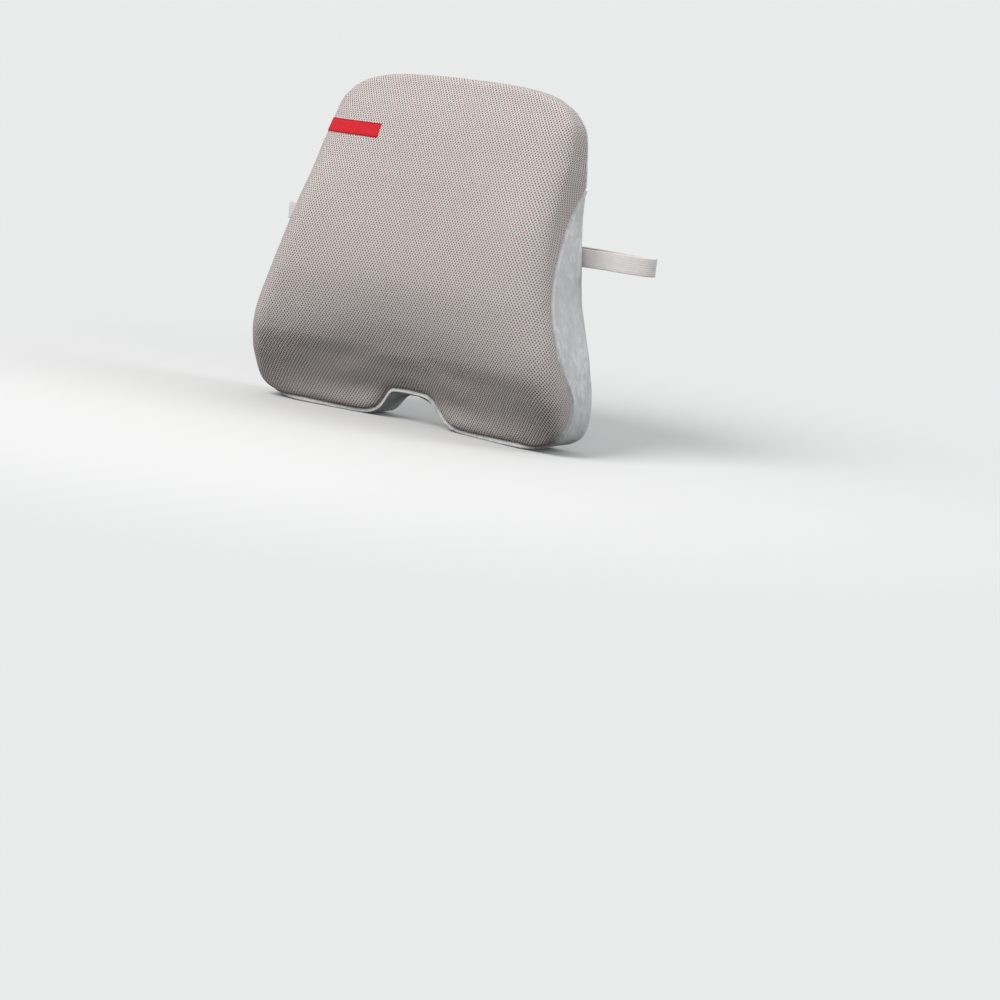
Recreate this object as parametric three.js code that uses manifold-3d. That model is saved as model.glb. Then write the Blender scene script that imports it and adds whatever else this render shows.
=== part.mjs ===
// Lumbar support cushion with an elastic chair strap.
//
// Millimetres, +Z up. +X is to the right of a person who looks at the front, the front faces -Y.
// The cushion is described by its outline, seen from the front, and by its thickness over that outline.
// All cover layers are the same surface, set in by their own depth below the outer skin.

import * as THREE from 'three';
import { mergeVertices } from 'three/addons/utils/BufferGeometryUtils.js';
import Module from 'manifold-3d';

const wasm = await Module();
wasm.setup();

// ---------------------------------------------------------------- driving dimensions

const HEIGHT = 388;
const HALF_WIDTH = 215;
const GAP = 0.4; // between a piece and the neighbour it touches on the real cushion

// Right half of the outline, from the middle of the top edge round to the top of the tailbone notch.
const OUTLINE = [
  [0, HEIGHT], [108, 382], [156, 355], [168, 305], [172, 244], [186, 168], [206, 104],
  [HALF_WIDTH, 54], [203, 15], [151, 0], [82, 0], [50, 5], [23, 25], [0, 31],
];

// Height, thickness on the middle line, and how much thicker the cushion is at its full half width.
const THICKNESS = [
  [0, 50, 12], [30, 54, 26], [60, 69, 30], [85, 86, 25], [120, 99, 16], [165, 103, 10], [235, 88.5, 8],
  [300, 65, 0], [350, 46, -4], [HEIGHT, 30, -4],
];

// Height and depth, in front of the back face, of the seam that joins the front panel to the gusset.
const SEAM_TIP_Z = 286;
const SEAM = [[0, 60], [15, 58], [54, 52], [104, 74], [168, 74], [244, 38], [SEAM_TIP_Z, 6]];

// Height and radius of the back edge. It is rounder in the tailbone notch, most of all at its top.
const BACK_EDGE_R = [[0, 10], [54, 17], [140, 20], [240, 12], [HEIGHT, 10]];
const NOTCH_BACK_R = 28;
const NOTCH_HALF_WIDTH = 82;
const NOTCH_TOP_Z = 31;

// Height, how far the front edge rolls in over the face, and how deep the roll is.
const FRONT_EDGE = [[0, 15, 15], [80, 34, 30], [250, 40, 30], [340, 34, 24], [HEIGHT, 32, 23]];

const MESH_T = 3.6;
const VELOUR_T = 1.8;
const LINER_T = 0.8;
const LINER_DEPTH = MESH_T + 1.4; // the facets of the two layers differ along the gusset seam
const CORE_DEPTH = LINER_DEPTH + LINER_T + 2 * GAP;

const ZIP_Z = 78;
const ZIP_HALF_LENGTH = 130;
const ZIP_SLIT = 9; // between the edges of the two back panels
const TAPE_W = 13;
const TAPE_T = 0.6;
const COIL_W = 2;
const COIL_T = 1.5;
const COIL_SLIT = 1.8;

const STRAP_Z = 211;
const STRAP_W = 20;
const STRAP_T = 1.4;
const STRAP_REACH = 254; // from the middle to the outside of the turn round the chair back
const STRAP_START = 178; // the strap's end in the seam between the gusset and the back panel
const STRAP_FRONT_Y = 3;
const STRAP_REAR_Y = 27;

const BUCKLE_T = 8.6;
const BUCKLE_W = 27;
const PLUG_TRAVEL = 30;

const LABEL_Z = 318;
const LABEL_H = 16;
const LABEL_T = 0.7;
const LABEL_END_X = -79;
const LABEL_BACK_Y = -14;

// ---------------------------------------------------------------- materials

const material = (color, roughness, metalness = 0) =>
  new THREE.MeshStandardMaterial({ color, roughness, metalness });

const spacerMesh = () => material(0xb9aeab, 0.92);
const velour = () => material(0xc9cacb, 0.97);
const tricot = () => material(0xf0efec, 0.9);
const foam = () => material(0xe8dfc4, 0.95);
const redRibbon = () => material(0xd3202f, 0.7);
const elastic = () => material(0xcfc6c2, 0.85);
const buckleNylon = () => material(0x8d8a88, 0.5);
const zipNylon = () => material(0xb4b4b6, 0.6);
const zipMetal = () => material(0xa8a8aa, 0.35, 0.9);

// ---------------------------------------------------------------- curves and tables

// Smooth value of a table of [position, value...] rows at a position, by a cubic through its neighbours.
function tableValue(table, position, column) {
  const last = table.length - 1;
  let k = 0;
  while (k < last - 1 && position > table[k + 1][0]) k += 1;
  const row = (index) => table[Math.min(Math.max(index, 0), last)];
  const [z0, z1, z2, z3] = [row(k - 1)[0], row(k)[0], row(k + 1)[0], row(k + 2)[0]];
  const [v0, v1, v2, v3] = [row(k - 1), row(k), row(k + 1), row(k + 2)].map((r) => r[column]);
  const span = z2 - z1;
  const u = Math.min(Math.max((position - z1) / span, 0), 1);
  const slopeIn = z2 > z0 ? (v2 - v0) / (z2 - z0) : 0;
  const slopeOut = z3 > z1 ? (v3 - v1) / (z3 - z1) : 0;
  const rise = u * u * (3 - 2 * u);
  return (
    v1 + (v2 - v1) * rise +
    slopeIn * span * (u ** 3 - 2 * u * u + u) +
    slopeOut * span * (u ** 3 - u * u)
  );
}

function thicknessAt(x, z) {
  const side = Math.min(Math.abs(x) / HALF_WIDTH, 1);
  const sideShare = side * side * (3 - 2 * side);
  return tableValue(THICKNESS, z, 1) + tableValue(THICKNESS, z, 2) * sideShare;
}

function backEdgeRadius(i) {
  const p = LOOP[i];
  const inNotch = Math.abs(p.x) < NOTCH_HALF_WIDTH && p.z < 2 * NOTCH_TOP_Z;
  const notchShare = inNotch ? Math.min(p.z / NOTCH_TOP_Z, 1) : 0;
  const plain = tableValue(BACK_EDGE_R, p.z, 1);
  return plain + (NOTCH_BACK_R - plain) * notchShare;
}

// How far in, and how deep, the front edge rolls at a height.
function frontEdge(z) {
  return { reach: tableValue(FRONT_EDGE, z, 1), drop: tableValue(FRONT_EDGE, z, 2) };
}

// The thickness where the front edge has turned into the face.
function edgeThickness(i) {
  const p = LOOP[i];
  const { reach } = frontEdge(p.z);
  return thicknessAt(p.x + p.inX * reach, p.z + p.inZ * reach);
}

const STEPS_PER_POINT = 2;

// The closed outline, clockwise from the top as seen from the front, with its inward direction.
function makeLoop() {
  const right = OUTLINE.map(([x, z]) => new THREE.Vector3(x, z, 0));
  const left = OUTLINE.slice(1, -1).reverse().map(([x, z]) => new THREE.Vector3(-x, z, 0));
  const curve = new THREE.CatmullRomCurve3([...right, ...left], true, 'catmullrom', 0.5);
  const count = (right.length + left.length) * STEPS_PER_POINT;
  const loop = [];
  for (let i = 0; i < count; i += 1) {
    const point = curve.getPoint(i / count);
    const tangent = curve.getTangent(i / count);
    loop.push({ x: point.x, z: Math.max(point.y, 0), inX: tangent.y, inZ: -tangent.x });
  }
  return loop;
}

const LOOP = makeLoop();
const CENTRE_Z = 170; // every point of the outline is in plain sight from here

// ---------------------------------------------------------------- the cushion's skin

// How far in a quarter circle of radius 1 has turned, at a depth along it.
function turnedShare(depth) {
  return 1 - Math.sqrt(Math.max(1 - depth * depth, 0));
}

// A point of the skin over outline point i. It is set in by layer from the outer surface and lies
// depth in front of the back face: on the back edge, the side wall or the front edge.
function wallPoint(i, depth, layer) {
  const p = LOOP[i];
  const { reach, drop } = frontEdge(p.z);
  const fromBack = Math.max(backEdgeRadius(i) - depth, 0);
  const fromFront = Math.max(depth - wallEnd(i), 0);
  const backInset = (backEdgeRadius(i) - layer) * turnedShare(fromBack / (backEdgeRadius(i) - layer));
  const frontInset = (reach - layer) * turnedShare(fromFront / (drop - layer));
  const inset = layer + backInset + frontInset;
  return new THREE.Vector3(p.x + p.inX * inset, -depth, p.z + p.inZ * inset);
}

// A closed row of skin points, at the depth that depthOf gives for each outline point.
function wallRow(layer, depthOf) {
  return LOOP.map((_, i) => wallPoint(i, depthOf(i), layer));
}

// The depth at which the side wall starts to turn into the front edge.
function wallEnd(i) {
  return edgeThickness(i) - frontEdge(LOOP[i].z).drop;
}

// The depth at which the front edge has turned through an angle.
function turnedDepth(i, layer, angle) {
  const { drop } = frontEdge(LOOP[i].z);
  return wallEnd(i) + (drop - layer) * Math.sin(angle);
}

// Front face rows, from the front edge towards the middle.
function faceRow(layer, share) {
  return LOOP.map((p) => {
    const { reach } = frontEdge(p.z);
    const x = (p.x + p.inX * reach) * share;
    const z = CENTRE_Z + (p.z + p.inZ * reach - CENTRE_Z) * share;
    return new THREE.Vector3(x, -(thicknessAt(x, z) - layer), z);
  });
}

const EDGE_ANGLES = [0, 0.4, 0.8, 1.2];
const FACE_SHARES = [1, 0.72, 0.4];

function frontRows(layer) {
  return [
    ...EDGE_ANGLES.map((angle) => wallRow(layer, (i) => turnedDepth(i, layer, angle))),
    ...FACE_SHARES.map((share) => faceRow(layer, share)),
  ];
}

function faceMiddle(layer) {
  return new THREE.Vector3(0, -(thicknessAt(0, CENTRE_Z) - layer), CENTRE_Z);
}

// ---------------------------------------------------------------- closed meshes from rows of points

class Surface {
  constructor() {
    this.positions = [];
  }

  // Corners clockwise, as seen from the side that the inward flag says: outside, or inside if it is set.
  triangle(a, b, c, inward = false) {
    const [second, third] = inward ? [b, c] : [c, b];
    this.positions.push(a.x, a.y, a.z, second.x, second.y, second.z, third.x, third.y, third.z);
  }

  quad(a, b, c, d, inward = false) {
    this.triangle(a, b, c, inward);
    this.triangle(a, c, d, inward);
  }

  // Joins two closed rows of the same length.
  ring(from, to, inward = false) {
    const count = from.length;
    for (let i = 0; i < count; i += 1) {
      const next = (i + 1) % count;
      this.quad(from[i], from[next], to[next], to[i], inward);
    }
  }

  fan(row, middle, inward = false) {
    for (let i = 0; i < row.length; i += 1) {
      this.triangle(row[i], row[(i + 1) % row.length], middle, inward);
    }
  }

  rings(rows, inward = false) {
    for (let k = 0; k + 1 < rows.length; k += 1) this.ring(rows[k], rows[k + 1], inward);
  }

  geometry() {
    const geometry = new THREE.BufferGeometry();
    geometry.setAttribute('position', new THREE.Float32BufferAttribute(this.positions, 3));
    return mergeVertices(geometry, 1e-4);
  }
}

// A bowl between two skins whose rows run from the rim to the middle. The two skins have the same
// triangles, so a thin bowl keeps its thickness, and bowls inside one another stay clear.
function bowl(outerRows, outerMiddle, innerRows, innerMiddle, opensForward = false) {
  const surface = new Surface();
  const last = outerRows.length - 1;
  surface.rings(outerRows, opensForward);
  surface.fan(outerRows[last], outerMiddle, opensForward);
  surface.rings(innerRows, !opensForward);
  surface.fan(innerRows[last], innerMiddle, !opensForward);
  surface.ring(innerRows[0], outerRows[0], opensForward);
  return surface.geometry();
}

// ---------------------------------------------------------------- boolean helpers

function toSolid(geometry) {
  const bare = geometry.clone();
  bare.deleteAttribute('normal');
  bare.deleteAttribute('uv');
  const merged = mergeVertices(bare, 1e-4);
  return new wasm.Manifold(new wasm.Mesh({
    numProp: 3,
    vertProperties: new Float32Array(merged.attributes.position.array),
    triVerts: new Uint32Array(merged.index.array),
  }));
}

function toGeometry(solid) {
  const mesh = solid.getMesh();
  const geometry = new THREE.BufferGeometry();
  geometry.setAttribute('position', new THREE.BufferAttribute(new Float32Array(mesh.vertProperties), 3));
  geometry.setIndex(new THREE.BufferAttribute(new Uint32Array(mesh.triVerts), 1));
  return geometry;
}

// A box between two corners.
function block(x0, x1, y0, y1, z0, z1) {
  const geometry = new THREE.BoxGeometry(x1 - x0, y1 - y0, z1 - z0);
  geometry.translate((x0 + x1) / 2, (y0 + y1) / 2, (z0 + z1) / 2);
  return toSolid(geometry);
}

// A plate with rounded corners, lying in XZ, from y0 to y1.
function roundedPlate(x0, x1, z0, z1, y0, y1, r) {
  const shape = new THREE.Shape();
  shape.moveTo(x0 + r, z0);
  shape.lineTo(x1 - r, z0);
  shape.absarc(x1 - r, z0 + r, r, -Math.PI / 2, 0);
  shape.lineTo(x1, z1 - r);
  shape.absarc(x1 - r, z1 - r, r, 0, Math.PI / 2);
  shape.lineTo(x0 + r, z1);
  shape.absarc(x0 + r, z1 - r, r, Math.PI / 2, Math.PI);
  shape.lineTo(x0, z0 + r);
  shape.absarc(x0 + r, z0 + r, r, Math.PI, Math.PI * 1.5);
  return toSolid(extrudeTowardsBack(shape, y0, y1, 3));
}

// Extrudes a shape drawn in XZ, so that it fills y0 to y1.
function extrudeTowardsBack(shape, y0, y1, curveSegments = 6) {
  const geometry = new THREE.ExtrudeGeometry(shape, {
    depth: y1 - y0, bevelEnabled: false, steps: 1, curveSegments,
  });
  geometry.rotateX(Math.PI / 2); // the shape's y becomes z, and its depth runs towards -Y
  geometry.translate(0, y1, 0);
  return geometry;
}

// ---------------------------------------------------------------- the assembly

const part = new THREE.Group();
const assembly = new THREE.Group(); // here the back face of the cushion is at y 0
part.add(assembly);

function addNode(name, geometry, look) {
  const mesh = new THREE.Mesh(geometry, look);
  mesh.name = name;
  assembly.add(mesh);
  return mesh;
}

// ---- foam core and its sewn liner

const LINER_SPLIT = 10; // depth of the seam between the liner's two halves
const LINER_TURN = 7.6; // depth of a row between that seam and the back
const ROW_STEP = 0.25; // keeps rows apart where two of them would meet

// The depth where the back edge has turned into the side wall, in front of another row.
function wallStart(i, behind) {
  return Math.max(backEdgeRadius(i), behind + ROW_STEP);
}

function buildCore() {
  const layer = CORE_DEPTH;
  const surface = new Surface();
  const rows = [
    wallRow(layer, () => layer),
    wallRow(layer, () => LINER_TURN),
    wallRow(layer, () => LINER_SPLIT),
    wallRow(layer, (i) => wallStart(i, LINER_SPLIT)),
    ...frontRows(layer),
  ];
  surface.rings(rows);
  surface.fan(rows[rows.length - 1], faceMiddle(layer));
  surface.fan(rows[0], new THREE.Vector3(0, -layer, CENTRE_Z), true);
  addNode('foam_core', surface.geometry(), foam());
}

function buildLiner() {
  const outer = LINER_DEPTH;
  const inner = LINER_DEPTH + LINER_T;
  const frontHalf = (layer) => [
    wallRow(layer, () => LINER_SPLIT + GAP),
    wallRow(layer, (i) => wallStart(i, LINER_SPLIT + GAP)),
    ...frontRows(layer),
  ];
  const front = bowl(frontHalf(outer), faceMiddle(outer), frontHalf(inner), faceMiddle(inner));
  addNode('liner_front', front, tricot());

  const backHalf = (layer) => [
    wallRow(layer, () => LINER_SPLIT), wallRow(layer, () => LINER_TURN), wallRow(layer, () => layer),
  ];
  const middle = (layer) => new THREE.Vector3(0, -layer, CENTRE_Z);
  const back = bowl(backHalf(outer), middle(outer), backHalf(inner), middle(inner), true);
  addNode('liner_back', back, tricot());
}

// ---- outer cover

function seamDepth(i) {
  const p = LOOP[i];
  if (p.z >= SEAM_TIP_Z) return SEAM[SEAM.length - 1][1];
  return Math.min(tableValue(SEAM, p.z, 1), edgeThickness(i) - 2 * MESH_T);
}

// Outline points that the gusset runs along, from the seam's right tip round the bottom to its left tip.
function gussetRange() {
  const last = LOOP.length - 1;
  const first = LOOP.findIndex((p) => p.z < SEAM_TIP_Z);
  return { first, end: last + 1 - first };
}

// Rows of the front panel, from its seam to the middle.
function panelRows(layer) {
  const rim = (i) => seamDepth(i) + GAP / 2;
  return [
    wallRow(layer, rim),
    ...EDGE_ANGLES.map((angle, k) => wallRow(
      layer, (i) => Math.max(turnedDepth(i, layer, angle), rim(i) + (k + 1) * ROW_STEP),
    )),
    ...FACE_SHARES.map((share) => faceRow(layer, share)),
  ];
}

function buildFrontPanel() {
  const geometry = bowl(panelRows(0), faceMiddle(0), panelRows(MESH_T), faceMiddle(MESH_T));
  addNode('front_panel', geometry, spacerMesh());
}

const BACK_SEAM_DEPTH = 3.5; // of the seam between the gusset and the back panels
const TURN_SHARES = [0.3, 0.95]; // rows of the gusset over the back edge
const WALL_SHARE = 0.85; // and where its last row but one is, at the most, on the side wall

// The band of back fabric round both sides, the bottom and the notch, with pointed ends at the top.
function buildGusset() {
  const { first, end } = gussetRange();
  const depths = (i) => {
    const deepest = seamDepth(i) - GAP / 2;
    const rise = Math.min(backEdgeRadius(i), deepest) - BACK_SEAM_DEPTH;
    const rows = [BACK_SEAM_DEPTH, ...TURN_SHARES.map((share) => BACK_SEAM_DEPTH + share * rise)];
    const turned = rows[rows.length - 1];
    rows.push(Math.min(wallEnd(i), turned + WALL_SHARE * (deepest - turned)), deepest);
    return rows;
  };
  const outer = [];
  const inner = [];
  for (let i = first; i <= end; i += 1) {
    outer.push(depths(i).map((depth) => wallPoint(i, depth, 0)));
    inner.push(depths(i).map((depth) => wallPoint(i, depth, VELOUR_T)));
  }
  const surface = new Surface();
  const columns = outer.length;
  const rows = outer[0].length;
  for (let c = 0; c + 1 < columns; c += 1) {
    for (let r = 0; r + 1 < rows; r += 1) {
      surface.quad(outer[c][r], outer[c + 1][r], outer[c + 1][r + 1], outer[c][r + 1]);
      surface.quad(inner[c][r], inner[c + 1][r], inner[c + 1][r + 1], inner[c][r + 1], true);
    }
    surface.quad(inner[c][0], inner[c + 1][0], outer[c + 1][0], outer[c][0]);
    const r = rows - 1;
    surface.quad(outer[c][r], outer[c + 1][r], inner[c + 1][r], inner[c][r]);
  }
  for (let r = 0; r + 1 < rows; r += 1) {
    const c = columns - 1;
    surface.quad(outer[0][r], outer[0][r + 1], inner[0][r + 1], inner[0][r]);
    surface.quad(outer[c][r], inner[c][r], inner[c][r + 1], outer[c][r + 1]);
  }
  addNode('gusset', surface.geometry(), velour());
}

// Back panel outline: the skin's back edge, cut by the zip.
function buildBackPanels() {
  const edge = BACK_SEAM_DEPTH + GAP;
  const ring = (depth, layer) => LOOP.map((_, i) => wallPoint(i, depth, layer));
  const points = ring(edge, 0).map((p) => new THREE.Vector2(p.x, p.z));
  const shape = new THREE.Shape(points);
  const whole = toSolid(extrudeTowardsBack(shape, -VELOUR_T, 0));
  const wide = HALF_WIDTH + 1;
  const slit = ZIP_SLIT / 2;
  const slitEnd = ZIP_HALF_LENGTH + TAPE_OVERHANG;
  const slot = block(-slitEnd, slitEnd, -VELOUR_T - 1, 1, ZIP_Z - slit, ZIP_Z + slit);
  const cut = block(-wide, wide, -VELOUR_T - 1, 1, ZIP_Z - GAP / 2, ZIP_Z + GAP / 2);
  const above = block(-wide, wide, -VELOUR_T - 1, 1, ZIP_Z, HEIGHT + 1);
  const below = block(-wide, wide, -VELOUR_T - 1, 1, -1, ZIP_Z);
  const open = whole.subtract(slot).subtract(cut);
  addNode('back_panel_upper', toGeometry(open.intersect(above)), velour());
  addNode('back_panel_lower', toGeometry(open.intersect(below)), velour());
}

// The ribbon label: flat on the front panel, and turned round its left edge as far as the side.
function buildLabel() {
  const under = -GAP;
  const over = -GAP - LABEL_T;
  const skin = toSolid(bowl(panelRows(over), faceMiddle(over), panelRows(under), faceMiddle(under)));
  const bottom = LABEL_Z - LABEL_H / 2;
  const ribbonSpace = block(-HALF_WIDTH, LABEL_END_X, -HALF_WIDTH, LABEL_BACK_Y, bottom, bottom + LABEL_H);
  addNode('label', toGeometry(skin.intersect(ribbonSpace)), redRibbon());
}

// ---- zip across the lower back

const TAPE_Y = -VELOUR_T - GAP;
const TAPE_OVERHANG = 8; // of a tape beyond the end of its coil
const COIL_Y = TAPE_Y + GAP;
const STOP_LENGTH = 3;

function buildZip() {
  const near = COIL_SLIT / 2;
  const tapeEnd = ZIP_HALF_LENGTH + TAPE_OVERHANG;
  for (const [side, name] of [[1, 'upper'], [-1, 'lower']]) {
    const span = (far) => [ZIP_Z + side * near, ZIP_Z + side * far].sort((a, b) => a - b);
    const tape = block(-tapeEnd, tapeEnd, TAPE_Y - TAPE_T, TAPE_Y, ...span(near + TAPE_W));
    addNode(`zip_tape_${name}`, toGeometry(tape), zipNylon());
    const coil = block(-ZIP_HALF_LENGTH, ZIP_HALF_LENGTH, COIL_Y, COIL_Y + COIL_T, ...span(near + COIL_W));
    addNode(`zip_coil_${name}`, toGeometry(coil), zipNylon());
  }
  const half = near + COIL_W;
  const clear = ZIP_HALF_LENGTH + GAP;
  const stop = (x) => block(x, x + STOP_LENGTH, COIL_Y, COIL_Y + COIL_T, ZIP_Z - half, ZIP_Z + half);
  addNode('zip_stop_closed_end', toGeometry(stop(clear)), zipMetal());
  addNode('zip_stop_open_end', toGeometry(stop(-clear - STOP_LENGTH)), zipMetal());
}

const SLIDER_X = ZIP_HALF_LENGTH - 7; // at the closed end
const SLIDER_HALF = 5.5;
const SLIDER_HALF_H = 4.2;
const SLIDER_CORNER_R = 1.6;
const PLATE_T = 1;
const PLATE_Y = COIL_Y + COIL_T + GAP;
const LOWER_PLATE = { half: 4.5, halfHeight: 4, thick: 0.6 };
const POST = { half: 3.5, halfThick: 0.5 }; // joins the slider's two plates between the tapes
const BRIDGE = { half: 3.6, halfWidth: 0.9, wall: 0.9, side: 1.2 };
const SINK = 0.3; // how far joined blocks run into one another
const PIVOT_Y = PLATE_Y + PLATE_T + 1.6;
const BRIDGE_TOP = PIVOT_Y + 2;

// A block centred on the slider, between two depths.
function sliderBlock(half, y0, y1, halfHeight) {
  return block(SLIDER_X - half, SLIDER_X + half, y0, y1, ZIP_Z - halfHeight, ZIP_Z + halfHeight);
}

function buildSlider() {
  const upper = roundedPlate(
    SLIDER_X - SLIDER_HALF, SLIDER_X + SLIDER_HALF, ZIP_Z - SLIDER_HALF_H, ZIP_Z + SLIDER_HALF_H,
    PLATE_Y, PLATE_Y + PLATE_T, SLIDER_CORNER_R,
  );
  const lowerY = TAPE_Y - TAPE_T - GAP;
  const lower = sliderBlock(LOWER_PLATE.half, lowerY - LOWER_PLATE.thick, lowerY, LOWER_PLATE.halfHeight);
  const post = sliderBlock(POST.half, lowerY - SINK, PLATE_Y + SINK, POST.halfThick);
  const bridge = sliderBlock(BRIDGE.half, PLATE_Y + SINK, BRIDGE_TOP, BRIDGE.halfWidth);
  const windowHalf = BRIDGE.half - BRIDGE.side;
  const window = sliderBlock(windowHalf, PLATE_Y + PLATE_T, BRIDGE_TOP - BRIDGE.wall, SLIDER_HALF_H);
  const body = upper.add(lower).add(post).add(bridge.subtract(window));
  addNode('zip_slider', toGeometry(body), zipMetal());
}

const PULL_LENGTH = 24;
const PULL_HALF_T = 0.55;
const PULL_HALF_W = 3.2;
const PULL_CORNER_R = 1.5;
const PULL_TAB_START = 4.6; // from the pivot
const PULL_ARM = { reach: 6, inner: 1.4, outer: 2.6 };
const PULL_HOLE = { start: 2.5, end: 10, halfWidth: 1.2 }; // from the tab's far end

// The pull lies flat, towards the open end, and turns over on a bar through the slider's bridge.
function buildPull() {
  const y0 = PIVOT_Y - PULL_HALF_T;
  const y1 = PIVOT_Y + PULL_HALF_T;
  const barEnd = SLIDER_X + PULL_HALF_T;
  const bar = block(SLIDER_X - PULL_HALF_T, barEnd, y0, y1, ZIP_Z - PULL_ARM.outer, ZIP_Z + PULL_ARM.outer);
  const far = SLIDER_X - PULL_LENGTH;
  const tab = roundedPlate(
    far, SLIDER_X - PULL_TAB_START, ZIP_Z - PULL_HALF_W, ZIP_Z + PULL_HALF_W, y0, y1, PULL_CORNER_R,
  );
  const arm = (z0, z1) => block(SLIDER_X - PULL_ARM.reach, barEnd, y0, y1, z0, z1);
  const upperArm = arm(ZIP_Z + PULL_ARM.inner, ZIP_Z + PULL_ARM.outer);
  const lowerArm = arm(ZIP_Z - PULL_ARM.outer, ZIP_Z - PULL_ARM.inner);
  const hole = block(
    far + PULL_HOLE.start, far + PULL_HOLE.end, y0 - 1, y1 + 1,
    ZIP_Z - PULL_HOLE.halfWidth, ZIP_Z + PULL_HOLE.halfWidth,
  );
  const body = bar.add(upperArm).add(lowerArm).add(tab).subtract(hole);
  addNode('zip_pull', toGeometry(body), zipMetal());
}

// ---- elastic strap

// A strap of even thickness along points in XY, standing STRAP_W high.
function ribbon(points, samples) {
  const curve = new THREE.CatmullRomCurve3(
    points.map(([x, y]) => new THREE.Vector3(x, y, 0)), false, 'centripetal',
  );
  const half = STRAP_T / 2;
  const left = [];
  const right = [];
  for (let i = 0; i <= samples; i += 1) {
    const p = curve.getPoint(i / samples);
    const t = curve.getTangent(i / samples);
    left.push(new THREE.Vector2(p.x - t.y * half, p.y + t.x * half));
    right.push(new THREE.Vector2(p.x + t.y * half, p.y - t.x * half));
  }
  const geometry = new THREE.ExtrudeGeometry(new THREE.Shape([...left, ...right.reverse()]), {
    depth: STRAP_W, bevelEnabled: false, steps: 1,
  });
  geometry.translate(0, 0, STRAP_Z - STRAP_W / 2);
  return geometry;
}

const TURN_Y = (STRAP_FRONT_Y + STRAP_REAR_Y) / 2;

// From the sewn end at the cushion's side, round one edge of the chair back, to the rear run.
const STRAP_TURN = [
  [STRAP_START, GAP + STRAP_T / 2], [190, GAP + STRAP_T / 2], [208, 2], [236, STRAP_FRONT_Y],
  [249, TURN_Y - 8], [STRAP_REACH - STRAP_T / 2, TURN_Y], [249, TURN_Y + 8],
  [236, STRAP_REAR_Y - 0.5], [205, STRAP_REAR_Y],
];

// The fold round a buckle's bar, from the side of the chair to the outside.
function foldRound(bar) {
  const y = STRAP_REAR_Y;
  return [
    [bar + 8, y - 2.5], [bar - 1.6, y - 2.6], [bar - 3, y - 1.7], [bar - 3.5, y],
    [bar - 3, y + 1.7], [bar - 1.6, y + 2.6], [bar + 8, y + 2.5],
  ];
}

// Samples along each strap, enough for its folds.
const LEFT_SAMPLES = 64;
const RIGHT_SAMPLES = 36;
const TAIL_SAMPLES = 44;

function buildStraps() {
  const y = STRAP_REAR_Y;
  const left = [
    ...STRAP_TURN, [120, y], [70, y - 0.4], [48, y - 1.4],
    ...foldRound(HOUSING_BAR_X), [48, y + 1.2], [62, y + 1.4],
  ].map(([px, py]) => [-px, py]);
  addNode('strap_left', ribbon(left, LEFT_SAMPLES), elastic());
  const right = [...STRAP_TURN, [150, y], [100, y], [63, y]];
  addNode('strap_right', ribbon(right, RIGHT_SAMPLES), elastic());
}

const TAIL_OFFSET = STRAP_T + 0.9; // from the middle of the rear run to the tail, on both sides
const TAIL_TUCK = 28; // lengths of the tail's two ends, from the plug's bar
const TAIL_REACH = 92;

// The strap's free end: folded round the plug's bar and lying along the rear run.
function buildTail() {
  const y = STRAP_REAR_Y;
  const bar = PLUG_BAR_X;
  const tail = [
    [bar + TAIL_TUCK, y - TAIL_OFFSET], ...foldRound(bar),
    [bar + TAIL_REACH / 2, y + TAIL_OFFSET], [bar + TAIL_REACH, y + TAIL_OFFSET],
  ];
  addNode('strap_tail', ribbon(tail, TAIL_SAMPLES), elastic());
}

const KEEPER_X = 78;
const KEEPER_W = 9;
const KEEPER_T = 1.1;
const KEEPER_CLEAR = 0.5;

function buildKeeper() {
  const clearY = TAIL_OFFSET + STRAP_T / 2 + KEEPER_CLEAR;
  const clearZ = STRAP_W / 2 + KEEPER_CLEAR;
  const ring = (y, z, x) => block(
    KEEPER_X - x, KEEPER_X + x, STRAP_REAR_Y - y, STRAP_REAR_Y + y, STRAP_Z - z, STRAP_Z + z,
  );
  const outside = ring(clearY + KEEPER_T, clearZ + KEEPER_T, KEEPER_W / 2);
  addNode('strap_keeper', toGeometry(outside.subtract(ring(clearY, clearZ, KEEPER_W))), elastic());
}

// ---- side-release buckle

const HOUSING_BAR_X = 24; // distance of the bars from the middle
const PLUG_BAR_X = 27;
const BAR_HALF = 1.5;
const SLOT_HALF_H = 10.8;
const MOUTH_X = 3;
const CORNER_R = 3;
const HOUSING_SLOT_X = 19;
const CAVITY = { end: 17, halfDepth: 2.6, halfHeight: 12 };
const WINDOW = { from: 14, to: 4 };
const PRONG_ROOT_X = 4.2;
const PRONG_HALF_T = 2.2;
const PLUG_SLOT_X = 14;
const PLUG_INSET = 0.6; // the plug's grip is this much thinner than the housing, on each side
const TONGUE = { end: 15, halfDepth: 1.6, halfHeight: 2.6 };

// Blocks that thin a bar, on both faces, from x0 to x1, so that the strap lies round it.
function barSkims(x0, x1) {
  const z0 = STRAP_Z - SLOT_HALF_H;
  const z1 = STRAP_Z + SLOT_HALF_H;
  const rear = block(x0, x1, STRAP_REAR_Y + BAR_HALF, STRAP_REAR_Y + BUCKLE_T, z0, z1);
  const front = block(x0, x1, STRAP_REAR_Y - BUCKLE_T, STRAP_REAR_Y - BAR_HALF, z0, z1);
  return rear.add(front);
}

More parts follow.
